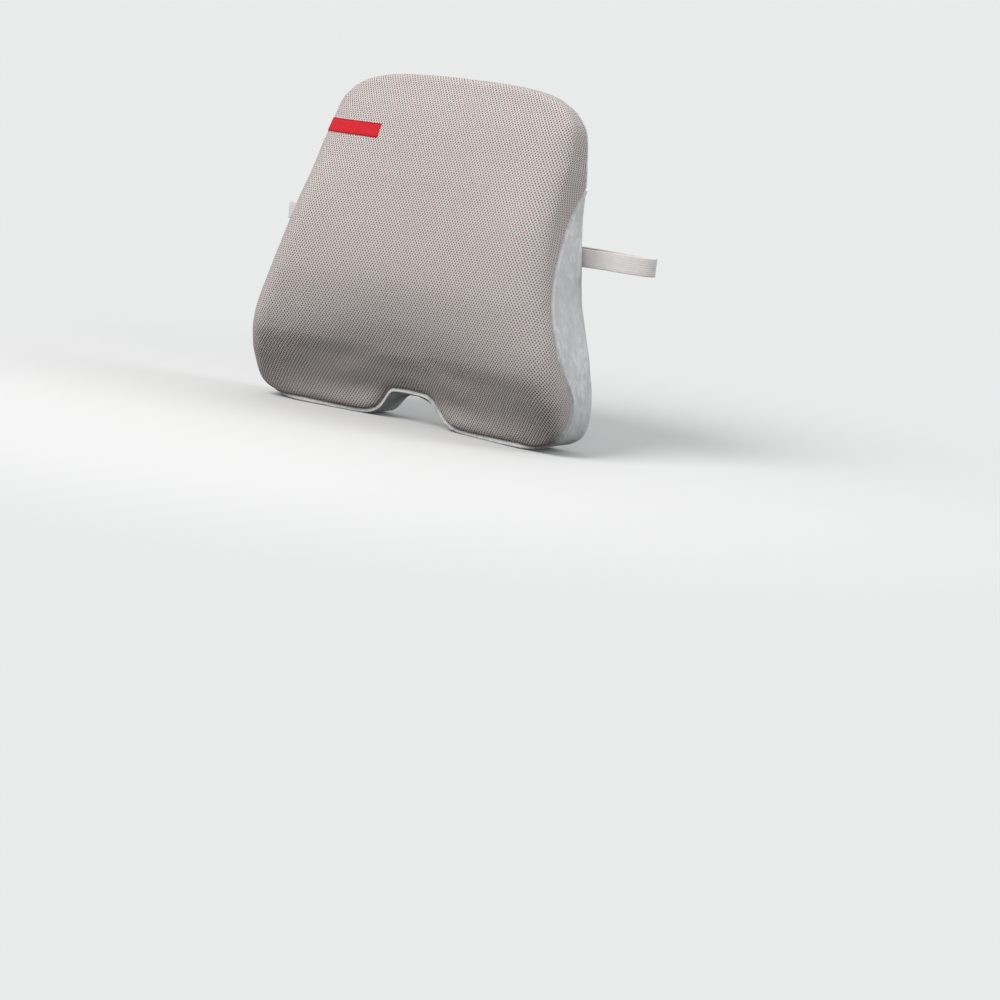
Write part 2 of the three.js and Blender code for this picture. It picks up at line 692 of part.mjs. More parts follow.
function buildHousing() {
  const y = STRAP_REAR_Y;
  const z = STRAP_Z;
  const half = BUCKLE_W / 2;
  const t = BUCKLE_T / 2;
  const { halfDepth, halfHeight } = CAVITY;
  const end = HOUSING_BAR_X + BAR_HALF;
  const shell = roundedPlate(-end, MOUTH_X, z - half, z + half, y - t, y + t, CORNER_R);
  const cavity = block(
    -CAVITY.end, MOUTH_X + 1, y - halfDepth, y + halfDepth, z - halfHeight, z + halfHeight,
  );
  const windows = block(-WINDOW.from, -WINDOW.to, y - halfDepth, y + halfDepth, z - half - 1, z + half + 1);
  const slot = block(
    -HOUSING_BAR_X + BAR_HALF, -HOUSING_SLOT_X, y - t - 1, y + t + 1, z - SLOT_HALF_H, z + SLOT_HALF_H,
  );
  const skims = barSkims(-end - 1, -HOUSING_BAR_X + BAR_HALF + SINK);
  const body = shell.subtract(cavity).subtract(windows).subtract(slot).subtract(skims);
  addNode('buckle_housing', toGeometry(body), buckleNylon());
}

function buildPlug() {
  const y = STRAP_REAR_Y;
  const z = STRAP_Z;
  const half = BUCKLE_W / 2;
  const t = BUCKLE_T / 2 - PLUG_INSET;
  const end = PLUG_BAR_X + BAR_HALF;
  const base = roundedPlate(PRONG_ROOT_X + GAP, end, z - half, z + half, y - t, y + t, CORNER_R);
  const slot = block(
    PLUG_SLOT_X, PLUG_BAR_X - BAR_HALF, y - t - 1, y + t + 1, z - SLOT_HALF_H, z + SLOT_HALF_H,
  );
  const skims = barSkims(PLUG_BAR_X - BAR_HALF - SINK, end + 1);
  const tongue = block(
    -TONGUE.end, PRONG_ROOT_X + 1, y - TONGUE.halfDepth, y + TONGUE.halfDepth,
    z - TONGUE.halfHeight, z + TONGUE.halfHeight,
  );
  const body = base.subtract(slot).subtract(skims).add(tongue);
  addNode('buckle_plug', toGeometry(body), buckleNylon());
}

// Half of a prong's outline, as distances from the middle: along the strap and across it.
const PRONG_OUTLINE = [
  [PRONG_ROOT_X, 8], [PRONG_ROOT_X, 10.2], [-2, 10.6], [-5, 11.6],
  [-12, 11.6], [-15, 9.4], [-15, 7.6], [-6, 8.2],
];

// The plug's two spring arms. Squeezing their pads turns them towards the tongue.
function buildProngs() {
  const y = STRAP_REAR_Y;
  for (const [side, name] of [[1, 'upper'], [-1, 'lower']]) {
    const outline = PRONG_OUTLINE.map(([x, z]) => new THREE.Vector2(x, STRAP_Z + side * z));
    const geometry = extrudeTowardsBack(new THREE.Shape(outline), y - PRONG_HALF_T, y + PRONG_HALF_T);
    addNode(`buckle_prong_${name}`, geometry, buckleNylon());
  }
}

buildCore();
buildLiner();
buildFrontPanel();
buildGusset();
buildBackPanels();
buildLabel();
buildZip();
buildSlider();
buildPull();
buildStraps();
buildTail();
buildKeeper();
buildHousing();
buildPlug();
buildProngs();

// The origin is under the middle of the whole part, strap and buckle included.
const extent = new THREE.Box3().setFromObject(assembly);
assembly.position.y = -(extent.min.y + extent.max.y) / 2;

export default part;
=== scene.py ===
"""The looks of a lumbar support cushion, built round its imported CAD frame.

Blender objects are in metres in the frame's own axes: +Z up, and the front faces -Y. The cushion's skin is
worked out in millimetres, as x, depth in front of the back face, and height, by the CAD model's own rules.
"""

import math

import bmesh
import bpy
import numpy as np
from mathutils import Matrix, Vector, noise
from mathutils.bvhtree import BVHTree
from mathutils.kdtree import KDTree


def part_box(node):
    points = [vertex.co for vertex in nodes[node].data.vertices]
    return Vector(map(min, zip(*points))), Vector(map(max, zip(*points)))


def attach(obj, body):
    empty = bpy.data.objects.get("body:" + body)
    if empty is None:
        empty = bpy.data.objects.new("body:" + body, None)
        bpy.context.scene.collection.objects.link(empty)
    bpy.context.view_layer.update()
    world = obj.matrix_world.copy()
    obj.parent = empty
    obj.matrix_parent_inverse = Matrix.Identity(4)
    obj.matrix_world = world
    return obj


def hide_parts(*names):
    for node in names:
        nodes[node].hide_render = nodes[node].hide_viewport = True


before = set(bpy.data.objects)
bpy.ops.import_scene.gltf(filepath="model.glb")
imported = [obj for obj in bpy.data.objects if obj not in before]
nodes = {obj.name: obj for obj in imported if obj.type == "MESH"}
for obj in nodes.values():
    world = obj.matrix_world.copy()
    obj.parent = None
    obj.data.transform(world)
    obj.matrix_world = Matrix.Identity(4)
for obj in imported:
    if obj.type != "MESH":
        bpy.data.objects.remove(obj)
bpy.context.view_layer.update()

MM = 0.001
BACK_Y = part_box("back_panel_upper")[1].y
BASE_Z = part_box("gusset")[0].z
HALF_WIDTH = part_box("front_panel")[1].x / MM
HEIGHT = (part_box("front_panel")[1].z - BASE_Z) / MM

# ------------------------------------------------------------------ the cushion's shape, in millimetres

# Right half of the outline, from the middle of the top edge round to the top of the tailbone notch.
OUTLINE = [
    (0, HEIGHT), (108, 382), (156, 355), (168, 305), (172, 244), (186, 168), (206, 104),
    (HALF_WIDTH, 54), (203, 15), (151, 0), (82, 0), (50, 5), (23, 25), (0, 31),
]
# Height, thickness on the middle line, and how much thicker the cushion is at its full half width.
THICKNESS = [
    (0, 50, 12), (30, 54, 26), (60, 69, 30), (85, 86, 25), (120, 99, 16), (165, 103, 10), (235, 88.5, 8),
    (300, 65, 0), (350, 46, -4), (HEIGHT, 30, -4),
]
# Height and depth of the seam between the front panel and the gusset.
SEAM_TIP_Z = 286
SEAM = [(0, 60), (15, 58), (54, 52), (104, 74), (168, 74), (244, 38), (SEAM_TIP_Z, 6)]
# Height, how far the front edge rolls in over the face, and how deep the roll is.
FRONT_EDGE = [(0, 15, 15), (80, 34, 30), (250, 40, 30), (340, 34, 24), (HEIGHT, 32, 23)]
# Height and radius of the back edge. It is rounder in the tailbone notch, most of all at its top.
BACK_EDGE_R = [(0, 10), (54, 17), (140, 20), (240, 12), (HEIGHT, 10)]
NOTCH_BACK_R = 28
NOTCH_HALF_WIDTH = 82
NOTCH_TOP_Z = 31
BACK_SEAM_DEPTH = 3.5
CENTRE_Z = 170.0
ZIP_Z = 78.0
ZIP_M = BASE_Z + ZIP_Z * MM
ZIP_HALF_LENGTH = 130.0
ZIP_SLIT = 9.0
ZIP_ROW = 4.2  # from a back panel's folded edge to its topstitching
PANEL_T = 3.2
VELOUR_T = 1.7
LINER_T = 0.8
LINER_DEPTH = 4.9
CORE_DEPTH = 6.7
LOOP_COUNT = 440
CORE_LOOP_COUNT = 150


def table_value(table, position, column):
    """Smooth value of a table of (position, value...) rows, by a cubic through its neighbours."""
    rows = np.array(table, float)
    z, v = rows[:, 0], rows[:, column]
    slope = np.empty(len(z))
    slope[1:-1] = (v[2:] - v[:-2]) / (z[2:] - z[:-2])
    slope[0] = (v[1] - v[0]) / (z[1] - z[0])
    slope[-1] = (v[-1] - v[-2]) / (z[-1] - z[-2])
    k = np.clip(np.searchsorted(z, position) - 1, 0, len(z) - 2)
    span = z[k + 1] - z[k]
    u = np.clip((position - z[k]) / span, 0, 1)
    rise = u * u * (3 - 2 * u)
    lead_in = slope[k] * span * (u**3 - 2 * u * u + u)
    lead_out = slope[k + 1] * span * (u**3 - u * u)
    return v[k] + (v[k + 1] - v[k]) * rise + lead_in + lead_out


def thickness_at(x, z):
    side = np.minimum(np.abs(x) / HALF_WIDTH, 1)
    return table_value(THICKNESS, z, 1) + table_value(THICKNESS, z, 2) * side * side * (3 - 2 * side)


def closed_curve(corners, steps):
    """A closed Catmull-Rom curve through corners."""
    p0, p1, p2, p3 = (np.roll(corners, s, axis=0)[:, None] for s in (1, 0, -1, -2))
    t = (np.arange(steps) / steps)[None, :, None]
    curve = 0.5 * (
        2 * p1 + (p2 - p0) * t + (2 * p0 - 5 * p1 + 4 * p2 - p3) * t**2 + (3 * p1 - p0 - 3 * p2 + p3) * t**3
    )
    return curve.reshape(-1, corners.shape[1])


def lengths_along(line):
    """How far along a polyline each of its points is."""
    return np.concatenate([[0], np.cumsum(np.linalg.norm(np.diff(line, axis=0), axis=1))])


def lengths_in_rows(grid):
    """How far along its row each point of a (row, point, xyz) grid is."""
    steps = np.linalg.norm(np.diff(grid, axis=1), axis=2)
    return np.concatenate([np.zeros((len(grid), 1)), np.cumsum(steps, axis=1)], axis=1)


def unit(vectors):
    return vectors / np.linalg.norm(vectors, axis=1)[:, None]


def evenly(points, count, closed=False):
    """Points spread evenly along a polyline, and how far along each is."""
    line = np.vstack([points, points[:1]]) if closed else points
    along = lengths_along(line)
    at = np.linspace(0, along[-1], count, endpoint=not closed)
    return np.stack([np.interp(at, along, line[:, k]) for k in range(line.shape[1])], axis=1), at


class Loop:
    """The closed outline, clockwise from the top as seen from the front, with its inward direction."""

    def __init__(self, count):
        right = np.array(OUTLINE, float)
        left = right[1:-1][::-1] * (-1, 1)
        dense = closed_curve(np.vstack([right, left]), 40)
        dense[:, 1] = np.maximum(dense[:, 1], 0)
        points, _ = evenly(dense, count, closed=True)
        self.count = count
        self.x, self.z = points[:, 0], points[:, 1]
        tangent = unit(np.roll(points, -2, axis=0) - np.roll(points, 2, axis=0))
        self.inward = np.stack([tangent[:, 1], -tangent[:, 0]], axis=1)
        self.reach, self.drop = (table_value(FRONT_EDGE, self.z, k) for k in (1, 2))
        self.edge_t = thickness_at(
            self.x + self.inward[:, 0] * self.reach, self.z + self.inward[:, 1] * self.reach
        )
        seam = np.minimum(table_value(SEAM, np.minimum(self.z, SEAM_TIP_Z), 1), self.edge_t - 7)
        self.seam_depth = np.where(self.z < SEAM_TIP_Z, seam, SEAM[-1][1])
        in_notch = (np.abs(self.x) < NOTCH_HALF_WIDTH) & (self.z < 2 * NOTCH_TOP_Z)
        share = np.where(in_notch, np.minimum(self.z / NOTCH_TOP_Z, 1), 0)
        self.back_r = table_value(BACK_EDGE_R, self.z, 1) * (1 - share) + NOTCH_BACK_R * share

    def inset(self, distance):
        """x and z of the outline's points, moved inward by a grid of distances with a row for each point."""
        x = self.x[:, None] + self.inward[:, :1] * distance
        z = self.z[:, None] + self.inward[:, 1:] * distance
        return x, z


class Skin:
    """The skin: a profile for each point of the outline, from the back face to the middle of the front."""

    BACK_STEPS, WALL_STEPS, EDGE_STEPS, FACE_STEPS = 9, 14, 20, 64

    def __init__(self, loop):
        self.loop = loop
        reach, drop, t_edge, back = (v[:, None] for v in (loop.reach, loop.drop, loop.edge_t, loop.back_r))
        turn = np.linspace(0, math.pi / 2, self.BACK_STEPS)[None]
        inset = [back * (1 - np.sin(turn))]
        depth = [back * (1 - np.cos(turn))]
        share = np.linspace(0, 1, self.WALL_STEPS)[None, 1:]
        inset.append(np.zeros_like(share * back))
        depth.append(back + (t_edge - drop - back) * share)
        turn = np.linspace(0, math.pi / 2, self.EDGE_STEPS)[None, 1:]
        edge_inset = reach * (1 - np.cos(turn))
        here = thickness_at(*loop.inset(edge_inset))
        inset.append(edge_inset)
        depth.append(t_edge + (here - t_edge) * np.sin(turn) ** 2 - drop * (1 - np.sin(turn)))
        inset, depth = np.concatenate(inset, axis=1), np.concatenate(depth, axis=1)
        x, z = loop.inset(inset)
        self.ring = x.shape[1] - 1
        share = np.linspace(1, 0, self.FACE_STEPS)[None, 1:]
        face_x = x[:, -1:] * share
        face_z = CENTRE_Z + (z[:, -1:] - CENTRE_Z) * share
        points = [
            np.concatenate([x, face_x], axis=1),
            np.concatenate([depth, thickness_at(face_x, face_z)], axis=1),
            np.concatenate([z, face_z], axis=1),
        ]
        self.points = np.stack(points, axis=2)
        self.along = lengths_in_rows(self.points)
        self.flat = self.flattened()

    def flattened(self):
        """Where each point lies on the flat cloth, in millimetres."""
        z = np.linspace(-5, HEIGHT + 5, 400)
        rise = np.diff(table_value(THICKNESS, np.clip(z, 0, HEIGHT), 1))
        cloth_z = np.concatenate([[0], np.cumsum(np.hypot(np.diff(z), rise))])
        flat = np.stack([self.points[:, :, 0], np.interp(self.points[:, :, 2], z, cloth_z)], axis=2)
        beyond = self.along[:, self.ring, None] - self.along[:, : self.ring + 1]
        outward = -self.loop.inward[:, None, :]
        flat[:, : self.ring + 1] = flat[:, self.ring, None, :] + outward * beyond[:, :, None]
        return flat

    def along_at_depth(self, depth):
        """How far along its profile each outline point's skin is at a depth."""
        found = [
            np.interp(d, self.points[i, : self.ring + 1, 1], self.along[i, : self.ring + 1])
            for i, d in enumerate(np.broadcast_to(depth, self.loop.count))
        ]
        return np.array(found)

    def at(self, stations, rows=None):
        """Points and flat places at stations along each profile, or along those of some rows only."""
        rows = range(self.loop.count) if rows is None else rows
        both = np.concatenate([self.points, self.flat], axis=2)
        sampled = np.empty((*stations.shape, 5))
        for row, i in enumerate(rows):
            for k in range(5):
                sampled[row, :, k] = np.interp(stations[row], self.along[i], both[i, :, k])
        return sampled[:, :, :3], sampled[:, :, 3:]


def grid_normals(grid, wraps=True):
    """Outward directions on a grid of (outline point, station, xyz)."""
    if wraps:
        around = np.roll(grid, -1, axis=0) - np.roll(grid, 1, axis=0)
    else:
        around = np.gradient(grid, axis=0)
    inward = np.gradient(grid, axis=1)
    n = np.cross(around, inward)
    n /= np.maximum(np.linalg.norm(n, axis=2), 1e-9)[:, :, None]
    return n


def placed(points):
    """From (x, depth, height) in millimetres to the frame, in metres."""
    p = np.asarray(points, float)
    return np.stack([p[..., 0] * MM, BACK_Y - p[..., 1] * MM, BASE_Z + p[..., 2] * MM], axis=-1)


# ------------------------------------------------------------------ making meshes


def linked(name, data):
    """A new object in the scene."""
    o = bpy.data.objects.new(name, data)
    bpy.context.scene.collection.objects.link(o)
    return o


def linked_mesh(name, bm):
    mesh = bpy.data.meshes.new(name)
    bm.to_mesh(mesh)
    bm.free()
    return linked(name, mesh)


def add_object(name, vertices, faces, smooth=True, sharp_deg=None, flat=None):
    """A mesh object. flat holds each vertex's place on the flat cloth, which the materials read."""
    mesh = bpy.data.meshes.new(name)
    mesh.from_pydata([tuple(v) for v in np.asarray(vertices, float)], [], [tuple(f) for f in faces])
    if flat is not None:
        attribute = mesh.attributes.new("flat", "FLOAT_VECTOR", "POINT")
        full = np.zeros((len(vertices), 3), np.float32)
        full[:, : flat.shape[1]] = flat
        attribute.data.foreach_set("vector", full.ravel())
    bm = bmesh.new()
    bm.from_mesh(mesh)
    bmesh.ops.recalc_face_normals(bm, faces=bm.faces)
    bm.to_mesh(mesh)
    bm.free()
    if smooth:
        mesh.shade_smooth()
    if sharp_deg is not None:
        mesh.set_sharp_from_angle(angle=math.radians(sharp_deg))
    return linked(name, mesh)


def quads(rows, columns, wraps, start=0):
    """Faces of a grid stored row by row."""
    made = []
    for i in range(rows if wraps else rows - 1):
        j = (i + 1) % rows
        for k in range(columns - 1):
            made.append((start + i * columns + k, start + j * columns + k,
                         start + j * columns + k + 1, start + i * columns + k + 1))
    return made


def closed_faces(rows, columns):
    """Faces of a wrapped grid whose first and last columns close on the two points stored after it."""
    faces = quads(rows, columns, True)
    for i in range(rows):
        a, b = i * columns, ((i + 1) % rows) * columns
        faces.append((b, a, rows * columns))
        faces.append((a + columns - 1, b + columns - 1, rows * columns + 1))
    return faces


def shell(name, outer, inner, flat, wraps, outer_middle=None, inner_middle=None):
    """A closed cloth piece between two skins. Its last column closes on a middle point, or on a rim."""
    rows, columns = outer.shape[:2]
    size = rows * columns
    for skin, least in ((outer, 0.0), (inner, 0.3)):  # pressed flat where the cushion stands
        skin[..., 2] = np.maximum(skin[..., 2], BASE_Z + least * MM)
    vertices = [outer.reshape(-1, 3), inner.reshape(-1, 3)]
    flats = [flat.reshape(-1, 2), flat.reshape(-1, 2)]
    faces = quads(rows, columns, wraps) + [f[::-1] for f in quads(rows, columns, wraps, size)]
    steps = range(rows if wraps else rows - 1)
    for i in steps:
        a, b = i * columns, ((i + 1) % rows) * columns
        faces.append((a, size + a, size + b, b))
    if outer_middle is None:
        for i in steps:
            a, b = i * columns + columns - 1, ((i + 1) % rows) * columns + columns - 1
            faces.append((b, size + b, size + a, a))
    else:
        vertices += [np.array([outer_middle]), np.array([inner_middle])]
        flats += [flat[:, -1].mean(axis=0)[None]] * 2
        for i in steps:
            a, b = i * columns + columns - 1, ((i + 1) % rows) * columns + columns - 1
            faces.append((a, b, 2 * size))
            faces.append((size + b, size + a, 2 * size + 1))
    if not wraps:
        for row in (0, rows - 1):
            for k in range(columns - 1):
                a = row * columns + k
                faces.append((a, a + 1, size + a + 1, size + a))
    return add_object(name, np.vstack(vertices), faces, flat=np.vstack(flats))


def finish_piece(o, body, material, slot, *stands_for, padded=None):
    """Gives a piece its material and body, and hides the CAD nodes that it stands for. Its slot is not used.
    """
    o.data.materials.clear()
    o.data.materials.append(material)
    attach(o, body)
    if stands_for:
        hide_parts(*stands_for)
    return o


# ------------------------------------------------------------------ cloth simulation of the filled cover

VOXEL = 0.005
CLOTH_START_IN = 0.0022
CLOTH_FRAMES = 20
CLOTH_CAP = 0.003  # the most that the cover moves, approached smoothly
CLOTH_EASING = 36  # passes that ease out ripples finer than the real cloth's
HELD_NEAR_SEAM = 0.006
CLOTH_SETTINGS = {
    "quality": 5,
    "uniform_pressure_force": 4,
    "tension_stiffness": 20,
    "compression_stiffness": 20,
    "shear_stiffness": 10,
    "bending_stiffness": 12,
    "shrink_min": 0.01,
}
SOLE_FADE = 0.02  # the movement fades out over this height, towards the sole that the cushion stands on


def kd_tree(points):
    tree = KDTree(len(points))
    for i, p in enumerate(points):
        tree.insert(p, i)
    tree.balance()
    return tree


def seam_line(skin):
    """Points of the seam round the front panel, in the frame."""
    stations = skin.along_at_depth(skin.loop.seam_depth)[:, None]
    return placed(skin.at(stations)[0][:, 0])


def eased(mesh, move):
    """The movement of a mesh's vertices, averaged with that of their neighbours over and over."""
    edges = np.empty(len(mesh.edges) * 2, np.int64)
    mesh.edges.foreach_get("vertices", edges)
    a, b = edges.reshape(-1, 2).T
    beside = np.bincount(np.concatenate([a, b]), minlength=len(mesh.vertices))[:, None]
    for _ in range(CLOTH_EASING):
        total = np.zeros_like(move)
        np.add.at(total, a, move[b])
        np.add.at(total, b, move[a])
        move = (move + total / beside) / 2
    return move


def simulated_swell(skin):
    """Swells a copy of the whole cover between its seams, and returns the start points and their movement."""
    grid = placed(skin.points[::2, :-1])
    rows, columns = grid.shape[:2]
    back_middle = placed([[0, 0, CENTRE_Z]])
    front_middle = placed(skin.points[:1, -1])
    vertices = np.vstack([grid.reshape(-1, 3), back_middle, front_middle])
    o = add_object("cover_simulation", vertices, closed_faces(rows, columns))
    remesh = o.modifiers.new("remesh", "REMESH")
    remesh.mode = "VOXEL"
    remesh.voxel_size = VOXEL
    bpy.context.view_layer.objects.active = o
    bpy.ops.object.modifier_apply(modifier="remesh")
    mesh = o.data
    count = len(mesh.vertices)
    rest = np.empty(count * 3)
    mesh.vertices.foreach_get("co", rest)
    rest = rest.reshape(-1, 3)
    normals = np.array([v.normal for v in mesh.vertices])
    tree = kd_tree(seam_line(skin))
    near_seam = np.array([tree.find(p)[2] for p in rest]) < HELD_NEAR_SEAM
    on_back = rest[:, 1] > BACK_Y - BACK_SEAM_DEPTH * MM
    held = near_seam | on_back
    start = rest - normals * np.where(held, 0, CLOTH_START_IN)[:, None]
    mesh.vertices.foreach_set("co", start.ravel())
    mesh.update()
    group = o.vertex_groups.new(name="held")
    group.add([int(i) for i in np.flatnonzero(held)], 1.0, "REPLACE")
    cloth = o.modifiers.new("cloth", "CLOTH")
    cloth.settings.vertex_group_mass = "held"
    cloth.settings.use_pressure = True
    for setting, value in CLOTH_SETTINGS.items():
        setattr(cloth.settings, setting, value)
    cloth.settings.effector_weights.gravity = 0
    cloth.collision_settings.use_self_collision = False
    scene = bpy.context.scene
    for f in range(1, CLOTH_FRAMES + 1):
        scene.frame_set(f)
    evaluated = o.evaluated_get(bpy.context.evaluated_depsgraph_get())
    end = np.empty(count * 3)
    evaluated.data.vertices.foreach_get("co", end)
    move = end.reshape(-1, 3) - rest
    move = eased(mesh, move)
    size = np.linalg.norm(move, axis=1)
    move /= 1 + size[:, None] / CLOTH_CAP
    move *= np.clip((rest[:, 2:] - BASE_Z) / SOLE_FADE, 0, 1)
    scene.frame_set(1)
    bpy.data.objects.remove(o)
    return rest, move


class Swell:
    """Carries the simulated movement over to the fine meshes."""

    def __init__(self, rest, move):
        self.move = move
        self.tree = kd_tree(rest)

    def apply(self, points):
        flat = np.asarray(points).reshape(-1, 3)
        moved = np.empty_like(flat)
        for i, p in enumerate(flat):
            near = self.tree.find_n(p, 9)
            weight = np.array([1 / (d * d + 4e-6) for _, _, d in near])
            moved[i] = p + (self.move[[k for _, k, _ in near]] * weight[:, None]).sum(axis=0) / weight.sum()
        return moved.reshape(np.shape(points))


class NoSwell:
    """Stands in for the simulation, and leaves the points as they are."""

    def apply(self, points):
        return np.array(points)


# ------------------------------------------------------------------ cover pieces

SEAM_VALLEY = 1.5
SEAM_VALLEY_W = 2.2
GATHER_W, GATHER_H = 9, 0.45  # small gathers beside a seam, in millimetres
GATHER_LENGTH = 0.011
CREASE_H, PUCKER_H = 1.5, 0.55  # the velour's broad creases and small puckers, in millimetres
CREASE_LENGTH, PUCKER_LENGTH = 0.040, 0.013
CREASE_FADE = 12  # they fade in over this distance from the velour's edges, in millimetres
FACE_COLUMNS = 78
FACE_END = 0.985  # how far the front's last column is on the way to its middle point
BEAD_AT, BEAD_W, BEAD_H = 2.6, 1.7, 1.9  # the velour's rolled edge beside the front seam, in millimetres


def ripple(points, scale, seed):
    """Even noise from -1 to 1 at points in metres, with features scale metres long."""
    offset = Vector((seed * 7.3, seed * 3.1, seed * 5.7))
    shape = points.shape[:-1]
    flat = points.reshape(-1, 3)
    values = [noise.noise(Vector(p) / scale + offset) for p in flat]
    return np.array(values).reshape(shape)


def pulled_in(grid, normals, rim_distance, depth=SEAM_VALLEY):
    """Draws cloth in at a seam, with small gathers along it. Distances are in millimetres."""
    valley = np.exp(-((rim_distance / SEAM_VALLEY_W) ** 2))
    gathers = np.exp(-rim_distance / GATHER_W) * ripple(placed(grid), GATHER_LENGTH, 1) * GATHER_H
    return grid - normals * (depth * valley - gathers)[:, :, None]


def front_panel(skin, swell):
    rim_steps = np.array([0, 0.5, 1.1, 1.8, 2.7, 4, 6])
    start = skin.along_at_depth(skin.loop.seam_depth + 0.2)[:, None]
    length = skin.along[:, -1:] - start
    inner_share = np.linspace(0, FACE_END, FACE_COLUMNS)[None, 1:]
    stations = np.concatenate(
        [start + rim_steps[None], start + rim_steps[-1] + (length - rim_steps[-1]) * inner_share], axis=1
    )
    grid, flat = skin.at(stations)
    normals = grid_normals(grid)
    outer = pulled_in(grid, normals, stations - start)
    inner = outer - normals * PANEL_T
    middle = skin.points[0, -1]
    outer, inner = swell.apply(placed(outer)), swell.apply(placed(inner))
    outer_middle = swell.apply(placed([middle]))[0]
    inner_middle = swell.apply(placed([middle - (0, PANEL_T, 0)]))[0]
    o = shell("cushion_front", outer, inner, flat, True, outer_middle, inner_middle)
    return o, outer, outer_middle


def gusset(skin, swell):
    keep = np.flatnonzero(skin.loop.z < SEAM_TIP_Z)
    back = skin.along_at_depth(BACK_SEAM_DEPTH)[:, None]
    front = skin.along_at_depth(skin.loop.seam_depth - 0.2)[:, None]
    share = (1 - np.cos(np.linspace(0, math.pi, 44)))[None] / 2
    stations = back + (front - back) * share
    grid, flat = skin.at(stations)
    normals = grid_normals(grid)
    rim = np.minimum(stations - back, front - stations)
    outer = pulled_in(grid, normals, rim)
    bead = np.exp(-(((front - stations - BEAD_AT) / BEAD_W) ** 2)) * BEAD_H
    outer = outer + normals * bead[:, :, None]
    crease = ripple(placed(grid) * (1, 2.2, 1), CREASE_LENGTH, 4) * CREASE_H
    crease = crease + ripple(placed(grid), PUCKER_LENGTH, 9) * PUCKER_H
    outer = outer + normals * (crease * np.clip(rim / CREASE_FADE, 0, 1))[:, :, None]
    inner = outer - normals * VELOUR_T
    outer, inner = swell.apply(placed(outer[keep])), swell.apply(placed(inner[keep]))
    return shell("cushion_gusset", outer, inner, flat[keep], False)


BACK_GAP = 0.2  # half of what is left between the two back cloths beyond the zip, in millimetres


def back_panel(name, skin, upper):
    """The flat back cloth on one side of the zip, rounded over the back edge to its seam."""
    loop = skin.loop
    side = 1 if upper else -1
    keep = np.flatnonzero((loop.z - ZIP_Z) * side > 0.3)
    if upper:  # from the left end over the top to the right end
        keep = np.concatenate([keep[keep > loop.count // 2], keep[keep <= loop.count // 2]])
    seam = np.where(loop.z < SEAM_TIP_Z, BACK_SEAM_DEPTH, SEAM[-1][1]) - 0.3
    rim = skin.along_at_depth(seam)[keep, None]
    stations = rim * (1 - np.linspace(0, 1, 9)[None])
    edge, _ = skin.at(stations, keep)
    inward = np.stack([loop.inward[keep, 0], np.full(len(keep), 0.7), loop.inward[keep, 1]], axis=1)
    inward = inward[:, None] * 0.8
    valley = np.exp(-(((rim - stations) / SEAM_VALLEY_W) ** 2))[:, :, None]
    edge = edge + inward * valley * SEAM_VALLEY
    edge[[0, -1], :, 2] = ZIP_Z + side * BACK_GAP  # the two cloths meet where they run into the side seam
    start = edge[:, -1]
    along = lengths_along(start[:, [0, 2]])
    target_x = start[0, 0] + (start[-1, 0] - start[0, 0]) * along / along[-1]
    slit = np.where(np.abs(target_x) < ZIP_HALF_LENGTH + 8, ZIP_SLIT / 2, BACK_GAP)
    for _ in range(2):
        slit[1:-1] = (slit[:-2] + 2 * slit[1:-1] + slit[2:]) / 4
    target = np.stack([target_x, np.zeros(len(keep)), ZIP_Z + side * slit], axis=1)
    share = 1 - (1 - np.linspace(0, 1, 46)[None, 1:, None]) ** 1.25
    plane = start[:, None] * (1 - share) + target[:, None] * share
    to_zip = np.abs(plane[:, :, 2] - target[:, None, 2])
    fold, beside_row = np.exp(-((to_zip / 1.1) ** 2)), np.exp(-((to_zip - ZIP_ROW) ** 2))
    folded = (slit[:, None] > 1) * (fold * 0.9 + beside_row * 0.5)
    soft = ripple(placed(plane), 0.05, 12) * 0.35 * np.clip(to_zip / 20, 0, 1)
    plane[:, :, 1] += folded + np.maximum(soft, -0.3)
    outer = np.concatenate([edge, plane], axis=1)
    inner = outer + (0, VELOUR_T, 0)
    inner[:, : edge.shape[1]] = edge + inward * VELOUR_T
    return shell(name, placed(outer), placed(inner), outer[:, :, [0, 2]], False)


# ------------------------------------------------------------------ materials


